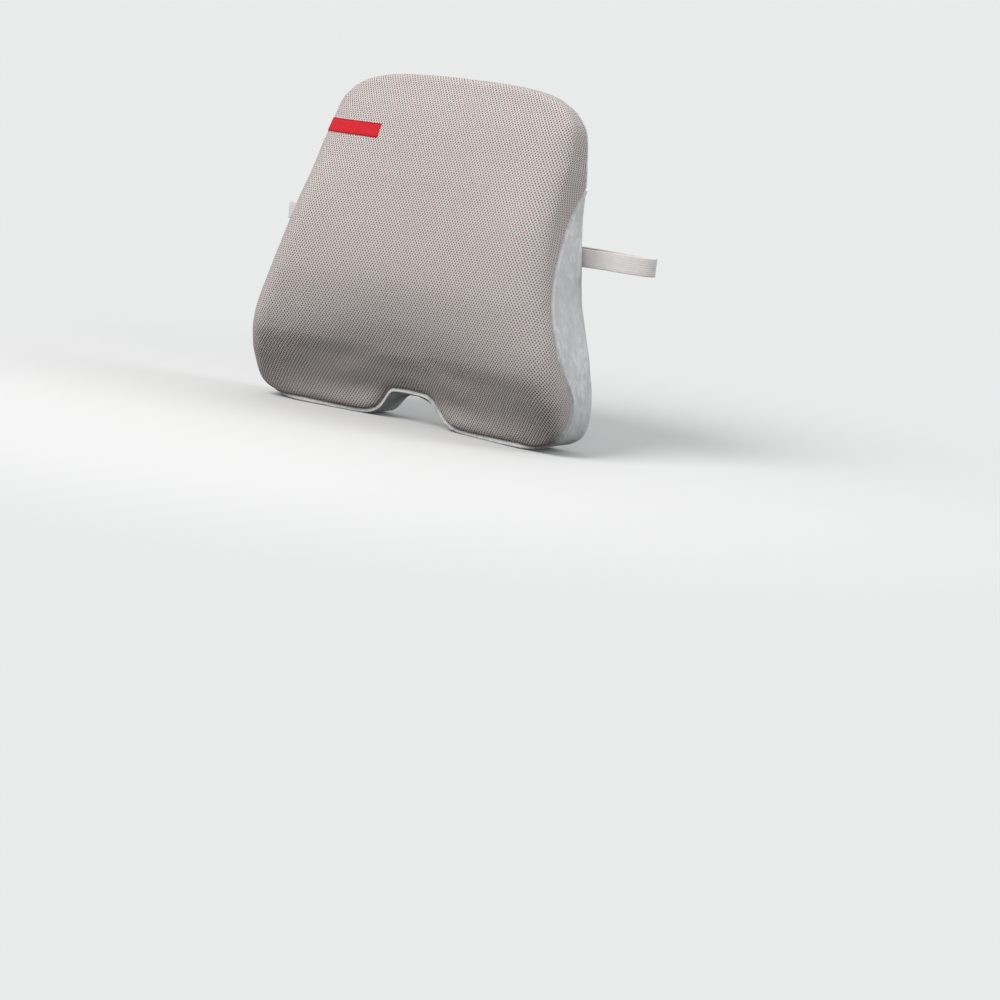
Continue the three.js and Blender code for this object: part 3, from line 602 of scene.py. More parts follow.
class Look:
    """A material's node tree, with short calls for the nodes that the cloths and plastics need."""

    def __init__(self, name, roughness=0.8, specular=0.3, metallic=0.0, sheen=0.0, sheen_roughness=0.5):
        self.material = bpy.data.materials.new(name)
        self.material.use_nodes = True
        self.tree = self.material.node_tree
        self.shader = self.tree.nodes["Principled BSDF"]
        self.shader.inputs["Roughness"].default_value = roughness
        self.shader.inputs["Specular IOR Level"].default_value = specular
        self.shader.inputs["Metallic"].default_value = metallic
        self.shader.inputs["Sheen Weight"].default_value = sheen
        self.shader.inputs["Sheen Roughness"].default_value = sheen_roughness

    def node(self, kind, **settings):
        made = self.tree.nodes.new(kind)
        for key, value in settings.items():
            setattr(made, key, value)
        return made

    def feed(self, socket, value):
        if isinstance(value, bpy.types.NodeSocket):
            self.tree.links.new(value, socket)
        else:
            socket.default_value = value

    def math(self, operation, *values, clamp=False):
        made = self.node("ShaderNodeMath", operation=operation, use_clamp=clamp)
        for socket, value in zip(made.inputs, values):
            self.feed(socket, value)
        return made.outputs[0]

    def vector(self, operation, *values):
        made = self.node("ShaderNodeVectorMath", operation=operation)
        for socket, value in zip(made.inputs, values):
            self.feed(socket, value)
        return made.outputs["Value" if operation in ("LENGTH", "DOT_PRODUCT") else "Vector"]

    def axes(self, vector):
        made = self.node("ShaderNodeSeparateXYZ")
        self.feed(made.inputs[0], vector)
        return made.outputs

    def flat(self):
        """Place on the flat cloth, in millimetres."""
        return self.node("ShaderNodeAttribute", attribute_name="flat").outputs["Vector"]

    def place(self):
        """Place in the frame, in metres."""
        return self.node("ShaderNodeTexCoord").outputs["Object"]

    def noise(self, where, scale, detail=2.0, roughness=0.5):
        made = self.node("ShaderNodeTexNoise")
        self.feed(made.inputs["Vector"], where)
        self.feed(made.inputs["Scale"], scale)
        self.feed(made.inputs["Detail"], detail)
        self.feed(made.inputs["Roughness"], roughness)
        return made.outputs[0]

    def cells(self, where, scale):
        made = self.node("ShaderNodeTexVoronoi")
        self.feed(made.inputs["Vector"], where)
        self.feed(made.inputs["Scale"], scale)
        return made.outputs["Distance"]

    def between(self, value, low, high, to_low=0.0, to_high=1.0):
        made = self.node("ShaderNodeMapRange", interpolation_type="SMOOTHSTEP")
        for socket, v in zip(made.inputs, (value, low, high, to_low, to_high)):
            self.feed(socket, v)
        return made.outputs[0]

    def mix(self, share, a, b):
        made = self.node("ShaderNodeMix", data_type="RGBA")
        self.feed(made.inputs[0], share)
        self.feed(made.inputs[6], a if isinstance(a, bpy.types.NodeSocket) else (*a, 1))
        self.feed(made.inputs[7], b if isinstance(b, bpy.types.NodeSocket) else (*b, 1))
        return made.outputs[2]

    def wave(self, value, period):
        """From -1 to 1 along value, with a period in value's own unit."""
        return self.math("SINE", self.math("MULTIPLY", value, 2 * math.pi / period))

    def bump(self, height, distance, strength=1.0):
        made = self.node("ShaderNodeBump")
        self.feed(made.inputs["Height"], height)
        self.feed(made.inputs["Distance"], distance)
        self.feed(made.inputs["Strength"], strength)
        self.tree.links.new(made.outputs[0], self.shader.inputs["Normal"])

    def colour(self, value):
        self.feed(self.shader.inputs["Base Color"], value)

    def rough(self, value):
        self.feed(self.shader.inputs["Roughness"], value)

    def glow(self, colour):
        made = self.node("ShaderNodeEmission")
        made.inputs[0].default_value = (*colour, 1)
        return made.outputs[0]

    def surface(self, value):
        self.feed(self.tree.nodes["Material Output"].inputs["Surface"], value)


def darker(colour, share):
    return tuple(c * share for c in colour)


HOLE_PITCH = (3.7, 5.05)  # of the air mesh: across, and two rows up, in millimetres
THREAD = (0.70, 0.665, 0.645)
# Painted shade: the mesh's holes have no depth, so they are coloured dark for the shade inside them, over the
# colour of the layer beneath.
HOLE_SHADE = (0.15, 0.078, 0.080)


def air_mesh():
    look = Look("air_mesh", roughness=0.86, specular=0.25, sheen=0.12, sheen_roughness=0.6)
    flat = look.flat()
    wander = look.node("ShaderNodeTexNoise")
    look.feed(wander.inputs["Vector"], flat)
    look.feed(wander.inputs["Scale"], 0.09)
    shift = look.vector("SUBTRACT", wander.outputs["Color"], (0.5, 0.5, 0.5))
    shift = look.vector("MULTIPLY", shift, (1.1, 1.1, 0))
    knit = look.vector("DIVIDE", look.vector("ADD", flat, shift), (*HOLE_PITCH, 1.0))
    distances = []
    for start in ((0.0, 0.0, 0.0), (0.5, 0.5, 0.0)):
        cell = look.vector("FRACTION", look.vector("ADD", knit, start))
        cell = look.vector("SUBTRACT", cell, (0.5, 0.5, 0))
        cell = look.vector("MULTIPLY", cell, (HOLE_PITCH[0], HOLE_PITCH[1] * 0.86, 0))
        distances.append(look.vector("LENGTH", cell))
    to_hole = look.math("MINIMUM", *distances)
    uneven = look.noise(flat, 0.31, 1.0)
    size = look.between(uneven, 0.3, 0.7, 0.95, 1.13)
    inside, outside = (look.math("MULTIPLY", size, share) for share in (0.55, 1.12))
    hole = look.between(to_hole, inside, outside, 1.0, 0.0)
    yarn = look.noise(flat, 3.2, 2.0, 0.6)
    pink = look.noise(flat, 0.55, 1.0)
    thread = look.mix(look.between(pink, 0.35, 0.65), THREAD, (0.655, 0.60, 0.578))
    thread = look.mix(look.between(yarn, 0.3, 0.75), darker(THREAD, 0.86), thread)
    cloud = look.noise(look.place(), 9.0, 3.0)
    thread = look.mix(look.between(cloud, 0.3, 0.7, 0.0, 0.5), thread, darker(THREAD, 0.93))
    # The holes take the painted shade colour; the threads between them keep their own colour.
    look.colour(look.mix(hole, thread, HOLE_SHADE))
    ridge = look.between(to_hole, 0.35, 1.75)
    height = look.math("ADD", ridge, look.math("MULTIPLY", yarn, 0.12))
    look.bump(height, 0.0006, 0.7)
    look.rough(look.between(hole, 0.0, 1.0, 0.84, 0.97))
    return look.material


VELOUR = (0.90, 0.905, 0.91)


def velour():
    look = Look("plush_velour", roughness=0.92, specular=0.2, sheen=0.55, sheen_roughness=0.42)
    place = look.place()
    nap = look.noise(place, 34.0, 4.0, 0.6)
    dents = look.noise(look.vector("MULTIPLY", place, (1, 1, 0.6)), 150.0, 3.0, 0.6)
    pile = look.noise(place, 900.0, 2.0, 0.7)
    tufts = look.cells(place, 1300.0)
    body = look.mix(look.between(nap, 0.4, 0.6), darker(VELOUR, 0.84), VELOUR)
    # Painted shade: the colour is darker where the broad dents sink in the bump.
    body = look.mix(look.between(dents, 0.42, 0.58), darker(VELOUR, 0.76), body)
    look.colour(look.mix(look.between(pile, 0.25, 0.6), darker(VELOUR, 0.82), body))
    height = look.math("ADD", look.math("MULTIPLY", pile, 0.6), look.math("MULTIPLY", tufts, -0.5))
    height = look.math("ADD", height, look.math("MULTIPLY", dents, 2.4))
    look.bump(height, 0.0013, 0.6)
    return look.material


def tricot():
    look = Look("liner_tricot", roughness=0.85, sheen=0.1)
    axes = look.axes(look.place())
    knit = look.math("MULTIPLY", look.wave(axes[0], 0.0012), look.wave(axes[2], 0.0009))
    look.colour(look.mix(look.between(knit, -1, 1), (0.72, 0.715, 0.70), (0.86, 0.855, 0.84)))
    look.bump(knit, 0.0003, 0.5)
    return look.material


def foam():
    look = Look("memory_foam", roughness=0.95, specular=0.15)
    place = look.place()
    pores = look.cells(place, 700.0)
    age = look.noise(place, 6.0, 3.0)
    body = look.mix(look.between(age, 0.3, 0.7), (0.78, 0.71, 0.52), (0.83, 0.77, 0.60))
    # Painted shade: the pores' hollows are coloured darker.
    look.colour(look.mix(look.between(pores, 0.0, 0.35, 1.0, 0.0), body, (0.58, 0.50, 0.34)))
    look.bump(pores, 0.0006, 0.5)
    return look.material


RED = (0.70, 0.022, 0.036)


def ribbon_red():
    look = Look("red_ribbon", roughness=0.65, specular=0.12, sheen=0.05, sheen_roughness=0.4)
    axes = look.axes(look.flat())
    twill = look.wave(look.math("ADD", axes[0], axes[1]), 0.55)
    ribs = look.wave(axes[1], 0.42)
    edge = look.between(look.math("ABSOLUTE", axes[1]), LABEL_H / 2 - 1.9, LABEL_H / 2 - 1.5)
    uneven = look.noise(look.flat(), 0.25, 2.0)
    body = look.mix(look.between(uneven, 0.3, 0.7), RED, darker(RED, 1.12))
    body = look.mix(look.between(twill, -1, 1, 0.0, 0.25), body, darker(RED, 0.55))
    look.colour(look.mix(look.math("MULTIPLY", edge, 0.55), body, (0.45, 0.008, 0.02)))
    look.bump(look.math("ADD", twill, look.math("MULTIPLY", ribs, 0.5)), 0.00012, 0.6)
    return look.material


def thread_of(name, colour):
    look = Look(name, roughness=0.6, specular=0.3, sheen=0.1)
    twist = look.noise(look.place(), 2600.0, 2.0)
    look.colour(look.mix(look.between(twist, 0.3, 0.7), darker(colour, 0.75), colour))
    look.bump(twist, 0.0001, 0.5)
    return look.material


WEBBING = (0.80, 0.765, 0.752)


def elastic():
    look = Look("elastic_webbing", roughness=0.7, specular=0.3, sheen=0.15, sheen_roughness=0.5)
    axes = look.axes(look.flat())
    across = look.wave(axes[1], 1.25)
    pick = look.wave(axes[0], 0.9)
    alternate = look.wave(look.math("ADD", axes[0], look.math("MULTIPLY", axes[1], 0.72)), 1.8)
    weave = look.math("ADD", look.math("MULTIPLY", across, 0.7), look.math("MULTIPLY", pick, 0.3))
    uneven = look.noise(look.flat(), 0.12, 3.0)
    body = look.mix(look.between(uneven, 0.3, 0.7), darker(WEBBING, 0.93), WEBBING)
    body = look.mix(look.between(weave, -0.9, 0.1, 0.4, 0.0), body, darker(WEBBING, 0.80))
    look.colour(look.mix(look.between(alternate, 0.2, 1, 0.0, 0.12), body, darker(WEBBING, 1.2)))
    look.bump(weave, 0.00012, 0.6)
    return look.material


def moulded_plastic():
    look = Look("buckle_plastic", roughness=0.42, specular=0.45)
    place = look.place()
    grain = look.noise(place, 1500.0, 3.0, 0.6)
    scuff = look.noise(look.vector("MULTIPLY", place, (1, 1, 4)), 160.0, 4.0, 0.7)
    scuffed = look.between(scuff, 0.55, 0.75, 0.0, 0.5)
    look.colour(look.mix(scuffed, (0.235, 0.228, 0.225), (0.33, 0.325, 0.32)))
    look.rough(look.between(scuff, 0.4, 0.75, 0.38, 0.62))
    look.bump(grain, 0.00012, 0.4)
    return look.material


def zip_cloth():
    look = Look("zip_tape", roughness=0.8, sheen=0.1)
    axes = look.axes(look.place())
    from_coil = look.math("ABSOLUTE", look.math("SUBTRACT", axes[2], ZIP_M))
    herring = look.wave(look.math("ADD", axes[0], from_coil), 0.0014)
    look.colour(look.mix(look.between(herring, -1, 1), (0.40, 0.40, 0.41), (0.52, 0.52, 0.53)))
    look.bump(herring, 0.0002, 0.6)
    return look.material


def zip_nylon():
    look = Look("zip_coil", roughness=0.4, specular=0.45)
    age = look.noise(look.place(), 300.0, 2.0)
    look.colour(look.mix(look.between(age, 0.3, 0.7), (0.45, 0.45, 0.46), (0.54, 0.54, 0.55)))
    look.bump(age, 0.0001, 0.2)
    return look.material


def nickel():
    look = Look("zip_metal", roughness=0.3, metallic=1.0)
    brushed = look.noise(look.vector("MULTIPLY", look.place(), (1, 6, 6)), 700.0, 3.0, 0.6)
    worn = look.noise(look.place(), 260.0, 3.0)
    look.colour(look.mix(look.between(worn, 0.35, 0.7), (0.58, 0.58, 0.585), (0.70, 0.695, 0.69)))
    look.rough(look.between(brushed, 0.3, 0.7, 0.22, 0.45))
    look.bump(brushed, 0.00005, 0.3)
    return look.material


# ------------------------------------------------------------------ sweeps, threads and small solids


def spline(points, steps):
    """A smooth curve through points, with steps in each stretch, closer where the points are close."""
    p = np.array(points, float)
    p = np.vstack([2 * p[0] - p[1], p, 2 * p[-1] - p[-2]])
    made = []
    for a, b, c, d in zip(p[:-3], p[1:-2], p[2:-1], p[3:]):
        t0, t1, t2 = (max(np.linalg.norm(v - u) ** 0.5, 1e-4) for u, v in ((a, b), (b, c), (c, d)))
        m1 = ((b - a) / t0 - (c - a) / (t0 + t1) + (c - b) / t1) * t1
        m2 = ((c - b) / t1 - (d - b) / (t1 + t2) + (d - c) / t2) * t1
        u = (np.arange(steps) / steps)[:, None]
        ends = b * (2 * u**3 - 3 * u**2 + 1) + c * (3 * u**2 - 2 * u**3)
        made.append(ends + m1 * (u**3 - 2 * u**2 + u) + m2 * (u**3 - u**2))
    return np.vstack([*made, p[-2:-1]])


def sweep(name, path, across, out, section, closed=False):
    """Sweeps a closed section of (across, out) pairs along a path. Everything is in metres."""
    section = np.array(section, float)
    grid = (
        path[:, None]
        + across[:, None] * section[None, :, :1]
        + out[:, None] * section[None, :, 1:]
    )
    rows, columns = grid.shape[:2]
    faces = []
    for i in range(rows if closed else rows - 1):
        j = (i + 1) % rows
        for k in range(columns):
            m = (k + 1) % columns
            faces.append((i * columns + k, j * columns + k, j * columns + m, i * columns + m))
    if not closed:
        faces.append(tuple(range(columns)))
        faces.append(tuple(range((rows - 1) * columns, rows * columns))[::-1])
    line = np.vstack([path, path[:1]]) if closed else path
    along = lengths_along(line)[:rows]
    flat = np.zeros((rows * columns, 2))
    flat[:, 0] = np.repeat(along, columns) / MM
    flat[:, 1] = np.tile(section[:, 0], rows) / MM
    return add_object(name, grid.reshape(-1, 3), faces, sharp_deg=70, flat=flat)


def level_sweep(name, line, z, section):
    """Sweeps a section of (height, out) pairs along a line of (x, y) points at height z."""
    count = len(line)
    tangent = unit(np.gradient(line, axis=0))
    path = np.column_stack([line, np.full(count, z)])
    across = np.tile((0.0, 0.0, 1.0), (count, 1))
    out = np.column_stack([-tangent[:, 1], tangent[:, 0], np.zeros(count)])
    return sweep(name, path, across, out, section)


def round_section(radius, sides):
    a = np.linspace(0, 2 * math.pi, sides, endpoint=False)
    return np.stack([np.cos(a), np.sin(a)], axis=1) * radius


def webbing_section(width, thick, ribs):
    """A flat elastic's section: soft edges and a shallow rib for each rubber cord."""
    half = width / 2
    w = np.linspace(-half, half, ribs * 6 + 1)
    swell = 0.05 * thick * np.cos(2 * math.pi * (w / width) * ribs)
    edge = np.sqrt(np.clip(1 - (np.abs(w) / half) ** 14, 0, 1))
    top = (thick / 2 + swell) * np.maximum(edge, 0.25)
    upper = np.stack([w, top], axis=1)
    return np.vstack([upper, (upper * (1, -1))[::-1]])


def flat_strap(name, points):
    """A stretch of the elastic strap whose path lies in XY, in metres."""
    line = spline(points, 10)
    length = np.linalg.norm(np.diff(line, axis=0), axis=1).sum()
    line, _ = evenly(line, int(length / STRAP_STEP))
    return level_sweep(name, line, STRAP_Z, webbing_section(STRAP_W, STRAP_T, STRAP_RIBS))


STITCH_RISE = 1.35


def stitches(name, line, normals, length, gap, radius):
    """A row of thread stitches that dip into the cloth at their ends. Everything is in metres."""
    along = lengths_along(line)
    vertices, faces = [], []
    sides, steps = 6, 6
    for k in range(int((along[-1] - gap) / (length + gap))):
        at = gap / 2 + k * (length + gap) + np.linspace(0, length, steps)
        p = np.stack([np.interp(at, along, line[:, c]) for c in range(3)], axis=1)
        n = np.stack([np.interp(at, along, normals[:, c]) for c in range(3)], axis=1)
        n = unit(n)
        u = np.linspace(-1, 1, steps)
        p = p + n * ((1 - u**4) * radius * STITCH_RISE - radius * 0.6)[:, None]
        t = unit(np.gradient(p, axis=0))
        b = np.cross(t, n)
        start = len(vertices)
        for i in range(steps):
            r = radius * (0.62 if i in (0, steps - 1) else 1)
            for j in range(sides):
                a = 2 * math.pi * j / sides
                vertices.append(p[i] + b[i] * math.cos(a) * r + n[i] * math.sin(a) * r)
        for i in range(steps - 1):
            for j in range(sides):
                m = (j + 1) % sides
                faces.append((start + i * sides + j, start + (i + 1) * sides + j,
                              start + (i + 1) * sides + m, start + i * sides + m))
        faces.append(tuple(range(start, start + sides)))
        faces.append(tuple(range(start + (steps - 1) * sides, start + steps * sides))[::-1])
    return add_object(name, vertices, faces, sharp_deg=80)


def rear_stitches(name, start, end, **sizes):
    """A straight row of stitches on a face that looks to the rear."""
    line = np.array([start, end], float)
    return stitches(name, line, np.tile((0.0, 1.0, 0.0), (2, 1)), **sizes)


def rounded_outline(x0, x1, z0, z1, r, steps=6):
    """Corner-rounded rectangle as (x, z) points, anticlockwise."""
    made = []
    centres = ((x1 - r, z0 + r), (x1 - r, z1 - r), (x0 + r, z1 - r), (x0 + r, z0 + r))
    for corner, (cx, cz) in enumerate(centres):
        for k in range(steps + 1):
            a = math.radians(90 * (corner - 1) + 90 * k / steps)
            made.append((cx + r * math.cos(a), cz + r * math.sin(a)))
    return made


def mirrored(half, z):
    """A closed outline from one half of it, with the other half mirrored about height z."""
    return half + [(x, 2 * z - h) for x, h in reversed(half)]


def prism(name, outline, y0, y1):
    """A plate of an (x, z) outline between two depths in the frame."""
    count = len(outline)
    vertices = [(x, y, z) for y in (y0, y1) for x, z in outline]
    faces = [tuple(range(count)), tuple(range(count, 2 * count))[::-1]]
    faces += [(k, count + k, count + (k + 1) % count, (k + 1) % count) for k in range(count)]
    return add_object(name, vertices, faces, smooth=False)


def soften(o, width, segments=3, angle=35):
    """Rounds a hard solid's edges."""
    bevel = o.modifiers.new("rounded", "BEVEL")
    bevel.width = width
    bevel.segments = segments
    bevel.limit_method = "ANGLE"
    bevel.angle_limit = math.radians(angle)
    bevel.use_clamp_overlap = True
    return o


def cut(o, *tools):
    """Takes the tools' shapes out of a solid."""
    for tool in tools:
        boolean = o.modifiers.new("cut", "BOOLEAN")
        boolean.operation = "DIFFERENCE"
        boolean.solver = "EXACT"
        boolean.object = tool
    settle(o)
    for tool in tools:
        bpy.data.objects.remove(tool)
    return o


def settle(o):
    """Applies a piece's modifiers to its mesh."""
    evaluated = o.evaluated_get(bpy.context.evaluated_depsgraph_get())
    mesh = bpy.data.meshes.new_from_object(evaluated)
    o.modifiers.clear()
    o.data = mesh
    return o


def joined(name, *parts):
    """Joins objects into one mesh."""
    bm = bmesh.new()
    for part in parts:
        part.data.transform(part.matrix_world)
        bm.from_mesh(part.data)
        bpy.data.objects.remove(part)
    return linked_mesh(name, bm)


def even_shading(o, angle=35):
    """Smooth shading that keeps the edges sharper than angle."""
    o.data.shade_smooth()
    o.data.set_sharp_from_angle(angle=math.radians(angle))
    return o


# ------------------------------------------------------------------ label

label_low, label_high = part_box("label")
LABEL_H = (label_high.z - label_low.z) / MM
LABEL_Z = (label_high.z + label_low.z) / 2
LABEL_END_X = label_high.x
LABEL_TURN_X = LABEL_END_X - 0.052  # where the ribbon starts to turn round the edge
LABEL_TURN_DEG = 112
LABEL_T = 0.0006
LABEL_ROWS = 33
LABEL_RAY_DEPTH = 0.026  # the ribbon is laid along rays from this depth inside the cushion
LABEL_EASING = 6
LABEL_TOOTH = 0.0005
LABEL_TOOTH_PITCH = 0.0016


def label_and_stitches(panel_outer, panel_middle):
    """The ribbon, laid on the front panel and round its left edge, with a row of stitches at each side."""
    rows, columns = panel_outer.shape[:2]
    vertices = np.vstack([panel_outer.reshape(-1, 3), [panel_middle]])
    tree = BVHTree.FromPolygons([tuple(v) for v in vertices], quads(rows, columns, True))
    inside_y = BACK_Y - LABEL_RAY_DEPTH
    heights = np.linspace(-LABEL_H / 2, LABEL_H / 2, LABEL_ROWS) * MM
    lines = []
    for h in heights:
        z = LABEL_Z + h
        hits = []
        for x in np.linspace(LABEL_END_X + 0.002, LABEL_TURN_X, 40):
            hits.append(tree.ray_cast(Vector((x, inside_y, z)), Vector((0, -1, 0)))[0])
        for a in np.radians(np.linspace(0, LABEL_TURN_DEG, 60)[1:]):
            direction = Vector((-math.sin(a), -math.cos(a), 0))
            hits.append(tree.ray_cast(Vector((LABEL_TURN_X, inside_y, z)), direction)[0])
        line = np.array([p for p in hits if p is not None])
        line = line[np.concatenate([[True], np.linalg.norm(np.diff(line, axis=0), axis=1) > 1e-6])]
        along = lengths_along(line)
        tooth = LABEL_TOOTH * abs(((h / LABEL_TOOTH_PITCH) % 1) * 2 - 1)
        start = 0.002 + tooth
        at = start + (along[-1] - start) * np.linspace(0, 1, 110)
        lines.append(np.stack([np.interp(at, along, line[:, k]) for k in range(3)], axis=1))
    grid = np.array(lines)
    for _ in range(LABEL_EASING):
        grid[:, 1:-1] = (grid[:, :-2] + 2 * grid[:, 1:-1] + grid[:, 2:]) / 4
        grid[1:-1, :, 1] = (grid[:-2, :, 1] + 2 * grid[1:-1, :, 1] + grid[2:, :, 1]) / 4
    normals = grid_normals(grid, wraps=False)
    if normals[LABEL_ROWS // 2, 5, 1] > 0:  # they have to point away from the panel
        normals = -normals
    from_edge = (LABEL_H / 2 * MM - np.abs(heights))[:, None]
    lift = 0.0004 + LABEL_T * np.sqrt(np.clip(from_edge / 0.0006, 0.05, 1))
    lift = lift - 0.0003 * np.exp(-(((from_edge - 0.0017) / 0.0005) ** 2))
    outer = grid + normals * lift[:, :, None]
    inner = grid - normals * 0.0003
    along = lengths_in_rows(grid)
    flat = np.stack([along / MM, np.broadcast_to(heights[:, None] / MM, along.shape)], axis=2)
    ribbon = shell("label_ribbon", outer, inner, flat, False)
    rows_of = [int(np.argmin(np.abs(heights - side * (LABEL_H / 2 - 1.7) * MM))) for side in (-1, 1)]
    seams = [
        stitches(f"label_seam_{i}", outer[row], normals[row], length=0.0019, gap=0.0008, radius=0.00016)
        for i, row in enumerate(rows_of)
    ]
    return ribbon, joined("label_stitching", *seams)


# ------------------------------------------------------------------ straps, keeper and buckle

strap_low, strap_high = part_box("strap_left")
STRAP_Z = (strap_low.z + strap_high.z) / 2
STRAP_W = strap_high.z - strap_low.z
STRAP_T = 0.0014
REAR_Y = (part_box("buckle_housing")[0].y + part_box("buckle_housing")[1].y) / 2
STRAP_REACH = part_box("strap_right")[1].x
STRAP_RIBS = 9
STRAP_STEP = 0.0011  # between the sections of its sweep
HOUSING_BAR_X = 0.024
PLUG_BAR_X = 0.027
SLOT_HALF_H = 0.0108
ROOM_AT, ROOM_HALF_T = 0.0032, 0.0017  # the strap's room in front of a buckle's bar and behind it
TAIL_OFFSET = STRAP_T + 0.0009


def strap_turn():
    """The way from the side seam round one edge of the chair back, as (distance from the middle, y)."""
    outside = STRAP_REACH - STRAP_T / 2
    front = BACK_Y + 0.003
    middle = (front + REAR_Y) / 2
    return [
        (0.168, BACK_Y - 0.0052), (0.1765, BACK_Y - 0.0032), (0.186, BACK_Y - 0.0002),
        (0.198, BACK_Y + 0.0016), (0.212, BACK_Y + 0.0022), (0.236, front), (0.249, middle - 0.008),
        (outside, middle), (0.249, middle + 0.008), (0.236, REAR_Y - 0.0005), (0.205, REAR_Y),
    ]


def fold_round(bar):
    y = REAR_Y
    return [
        (bar + 0.008, y - 0.0025), (bar - 0.0016, y - 0.0026), (bar - 0.003, y - 0.0017), (bar - 0.0035, y),
        (bar - 0.003, y + 0.0017), (bar - 0.0016, y + 0.0026), (bar + 0.008, y + 0.0025),
    ]


def straps():
    y = REAR_Y
    left = [
        *strap_turn(), (0.12, y), (0.07, y - 0.0004), (0.048, y - 0.0014),
        *fold_round(HOUSING_BAR_X), (0.048, y + 0.0012), (0.062, y + 0.0014),
    ]
    left = flat_strap("strap_left_elastic", [(-a, b) for a, b in left])
    right = flat_strap("strap_right_elastic", [*strap_turn(), (0.15, y), (0.1, y), (0.063, y)])
    tail = [
        (PLUG_BAR_X + 0.028, y - TAIL_OFFSET), *fold_round(PLUG_BAR_X),
        (PLUG_BAR_X + 0.046, y + TAIL_OFFSET), (PLUG_BAR_X + 0.092, y + TAIL_OFFSET),
    ]
    return left, right, flat_strap("strap_tail_elastic", tail)


def bar_tacks():
    """The stitches that close the left strap's fold behind the housing."""
    y = REAR_Y + 0.0014 + STRAP_T / 2 + 0.0001
    half = STRAP_W / 2 - 0.002
    rows = []
    for k, x in enumerate((-0.0535, -0.0575)):
        start, end = ((x, y, z) for z in (STRAP_Z - half, STRAP_Z + half))
        rows.append(rear_stitches(f"tack_{k}", start, end, length=0.0022, gap=0.0007, radius=0.00025))
    return joined("strap_stitching", *rows)


def keeper():
    """An elastic loop round the strap and its tail."""
    low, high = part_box("strap_keeper")
    outline = np.array(rounded_outline(low.y, high.y, low.z, high.z, 0.0022, 8))
    count = 150
    outline, _ = evenly(outline, count, closed=True)
    tangent = unit(np.roll(outline, -1, axis=0) - np.roll(outline, 1, axis=0))
    thick = 0.0011
    out = np.column_stack([np.zeros(count), tangent[:, 1], -tangent[:, 0]])
    middle = (low.x + high.x) / 2
    path = np.column_stack([np.full(count, middle), outline]) - out * thick / 2
    across = np.tile((1.0, 0.0, 0.0), (count, 1))
    section = webbing_section(high.x - low.x, thick, 5)
    return sweep("strap_keeper_loop", path, across, out, section, closed=True)


def strap_cuts(slot_x, bar_x, half_t):
    """The slot beside a buckle's bar, and the strap's room in front of the bar and behind it."""
    cuts = [(slot_x, 0.0012, 0, half_t + 0.001)]
    cuts += [(bar_x, 0.001, side * ROOM_AT, ROOM_HALF_T) for side in (-1, 1)]
    z0, z1 = STRAP_Z - SLOT_HALF_H, STRAP_Z + SLOT_HALF_H
    return [
        prism("strap_cut", rounded_outline(*x, z0, z1, r), REAR_Y + middle - half, REAR_Y + middle + half)
        for x, r, middle, half in cuts
    ]


def housing():
    """The buckle's female half: a soft-edged shell with side windows, a mouth, a strap slot and a bar."""
    low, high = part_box("buckle_housing")
    y, z = REAR_Y, STRAP_Z
    t = (high.y - low.y) / 2
    waist = [
        (low.x, z - 0.0105), (low.x + 0.002, z - 0.0128), (-0.014, z - 0.0135), (-0.009, z - 0.0126),
        (-0.004, z - 0.0133), (high.x - 0.001, z - 0.0135), (high.x, z - 0.0125),
    ]
    body = prism("buckle_housing_shell", mirrored(waist, z), y - t, y + t)
    soften(body, 0.0016, 4, 25)
    settle(body)
    bar = -HOUSING_BAR_X
    slot, *room = strap_cuts((bar + 0.0015, -0.019), (low.x - 0.002, bar + 0.0016), t)
    mouth = rounded_outline(-0.017, high.x + 0.002, z - 0.012, z + 0.012, 0.001)
    window = rounded_outline(-0.0142, -0.0038, z - 0.016, z + 0.016, 0.0015)
    cavity, windows = (prism("cavity", outline, y - 0.0026, y + 0.0026) for outline in (mouth, window))
    cut(body, slot, cavity, windows, *room)
    return even_shading(body)


def plug():
    """The buckle's male half: a grip with raised ribs, a strap slot and bar, and the centre tongue."""
    low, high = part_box("buckle_plug")
    y, z = REAR_Y, STRAP_Z
    t = (high.y - low.y) / 2
    root = 0.0046
    side = [
        (root, z - 0.0122), (root + 0.0015, z - 0.0135), (0.012, z - 0.0131), (0.018, z - 0.0135),
        (high.x - 0.002, z - 0.0128), (high.x, z - 0.0105),
    ]
    body = prism("buckle_plug_grip", mirrored(side, z), y - t, y + t)
    soften(body, 0.0014, 4, 25)
    settle(body)
    cut(body, *strap_cuts((0.014, PLUG_BAR_X - 0.0015), (PLUG_BAR_X - 0.0016, high.x + 0.002), t))
    parts = [body]
    edge = [(low.x, z - 0.0016), (low.x + 0.003, z - 0.0026), (root + 0.001, z - 0.0026)]
    tongue = prism("tongue", mirrored(edge, z), y - 0.0016, y + 0.0016)
    parts.append(settle(soften(tongue, 0.0005, 2)))
    for k in range(4):
        x = 0.0064 + 0.0019 * k
        for s in (-1, 1):
            rib = prism(f"rib_{k}_{s}", rounded_outline(x, x + 0.0009, z - 0.0085, z + 0.0085, 0.0004, 3),
                        y + s * t - 0.0003, y + s * t + 0.00035)
            parts.append(settle(soften(rib, 0.00025, 2)))
    return even_shading(joined("buckle_plug_body", *parts))


# ------------------------------------------------------------------ zip

COIL_PITCH = 0.0013
COIL_AT = 0.00135  # from the zip's middle line to the middle of each helix
COIL_HALF_Y, COIL_HALF_Z = 0.0005, 0.00155
COIL_WIRE_R = 0.00031
COIL_STEPS = 10  # in each turn


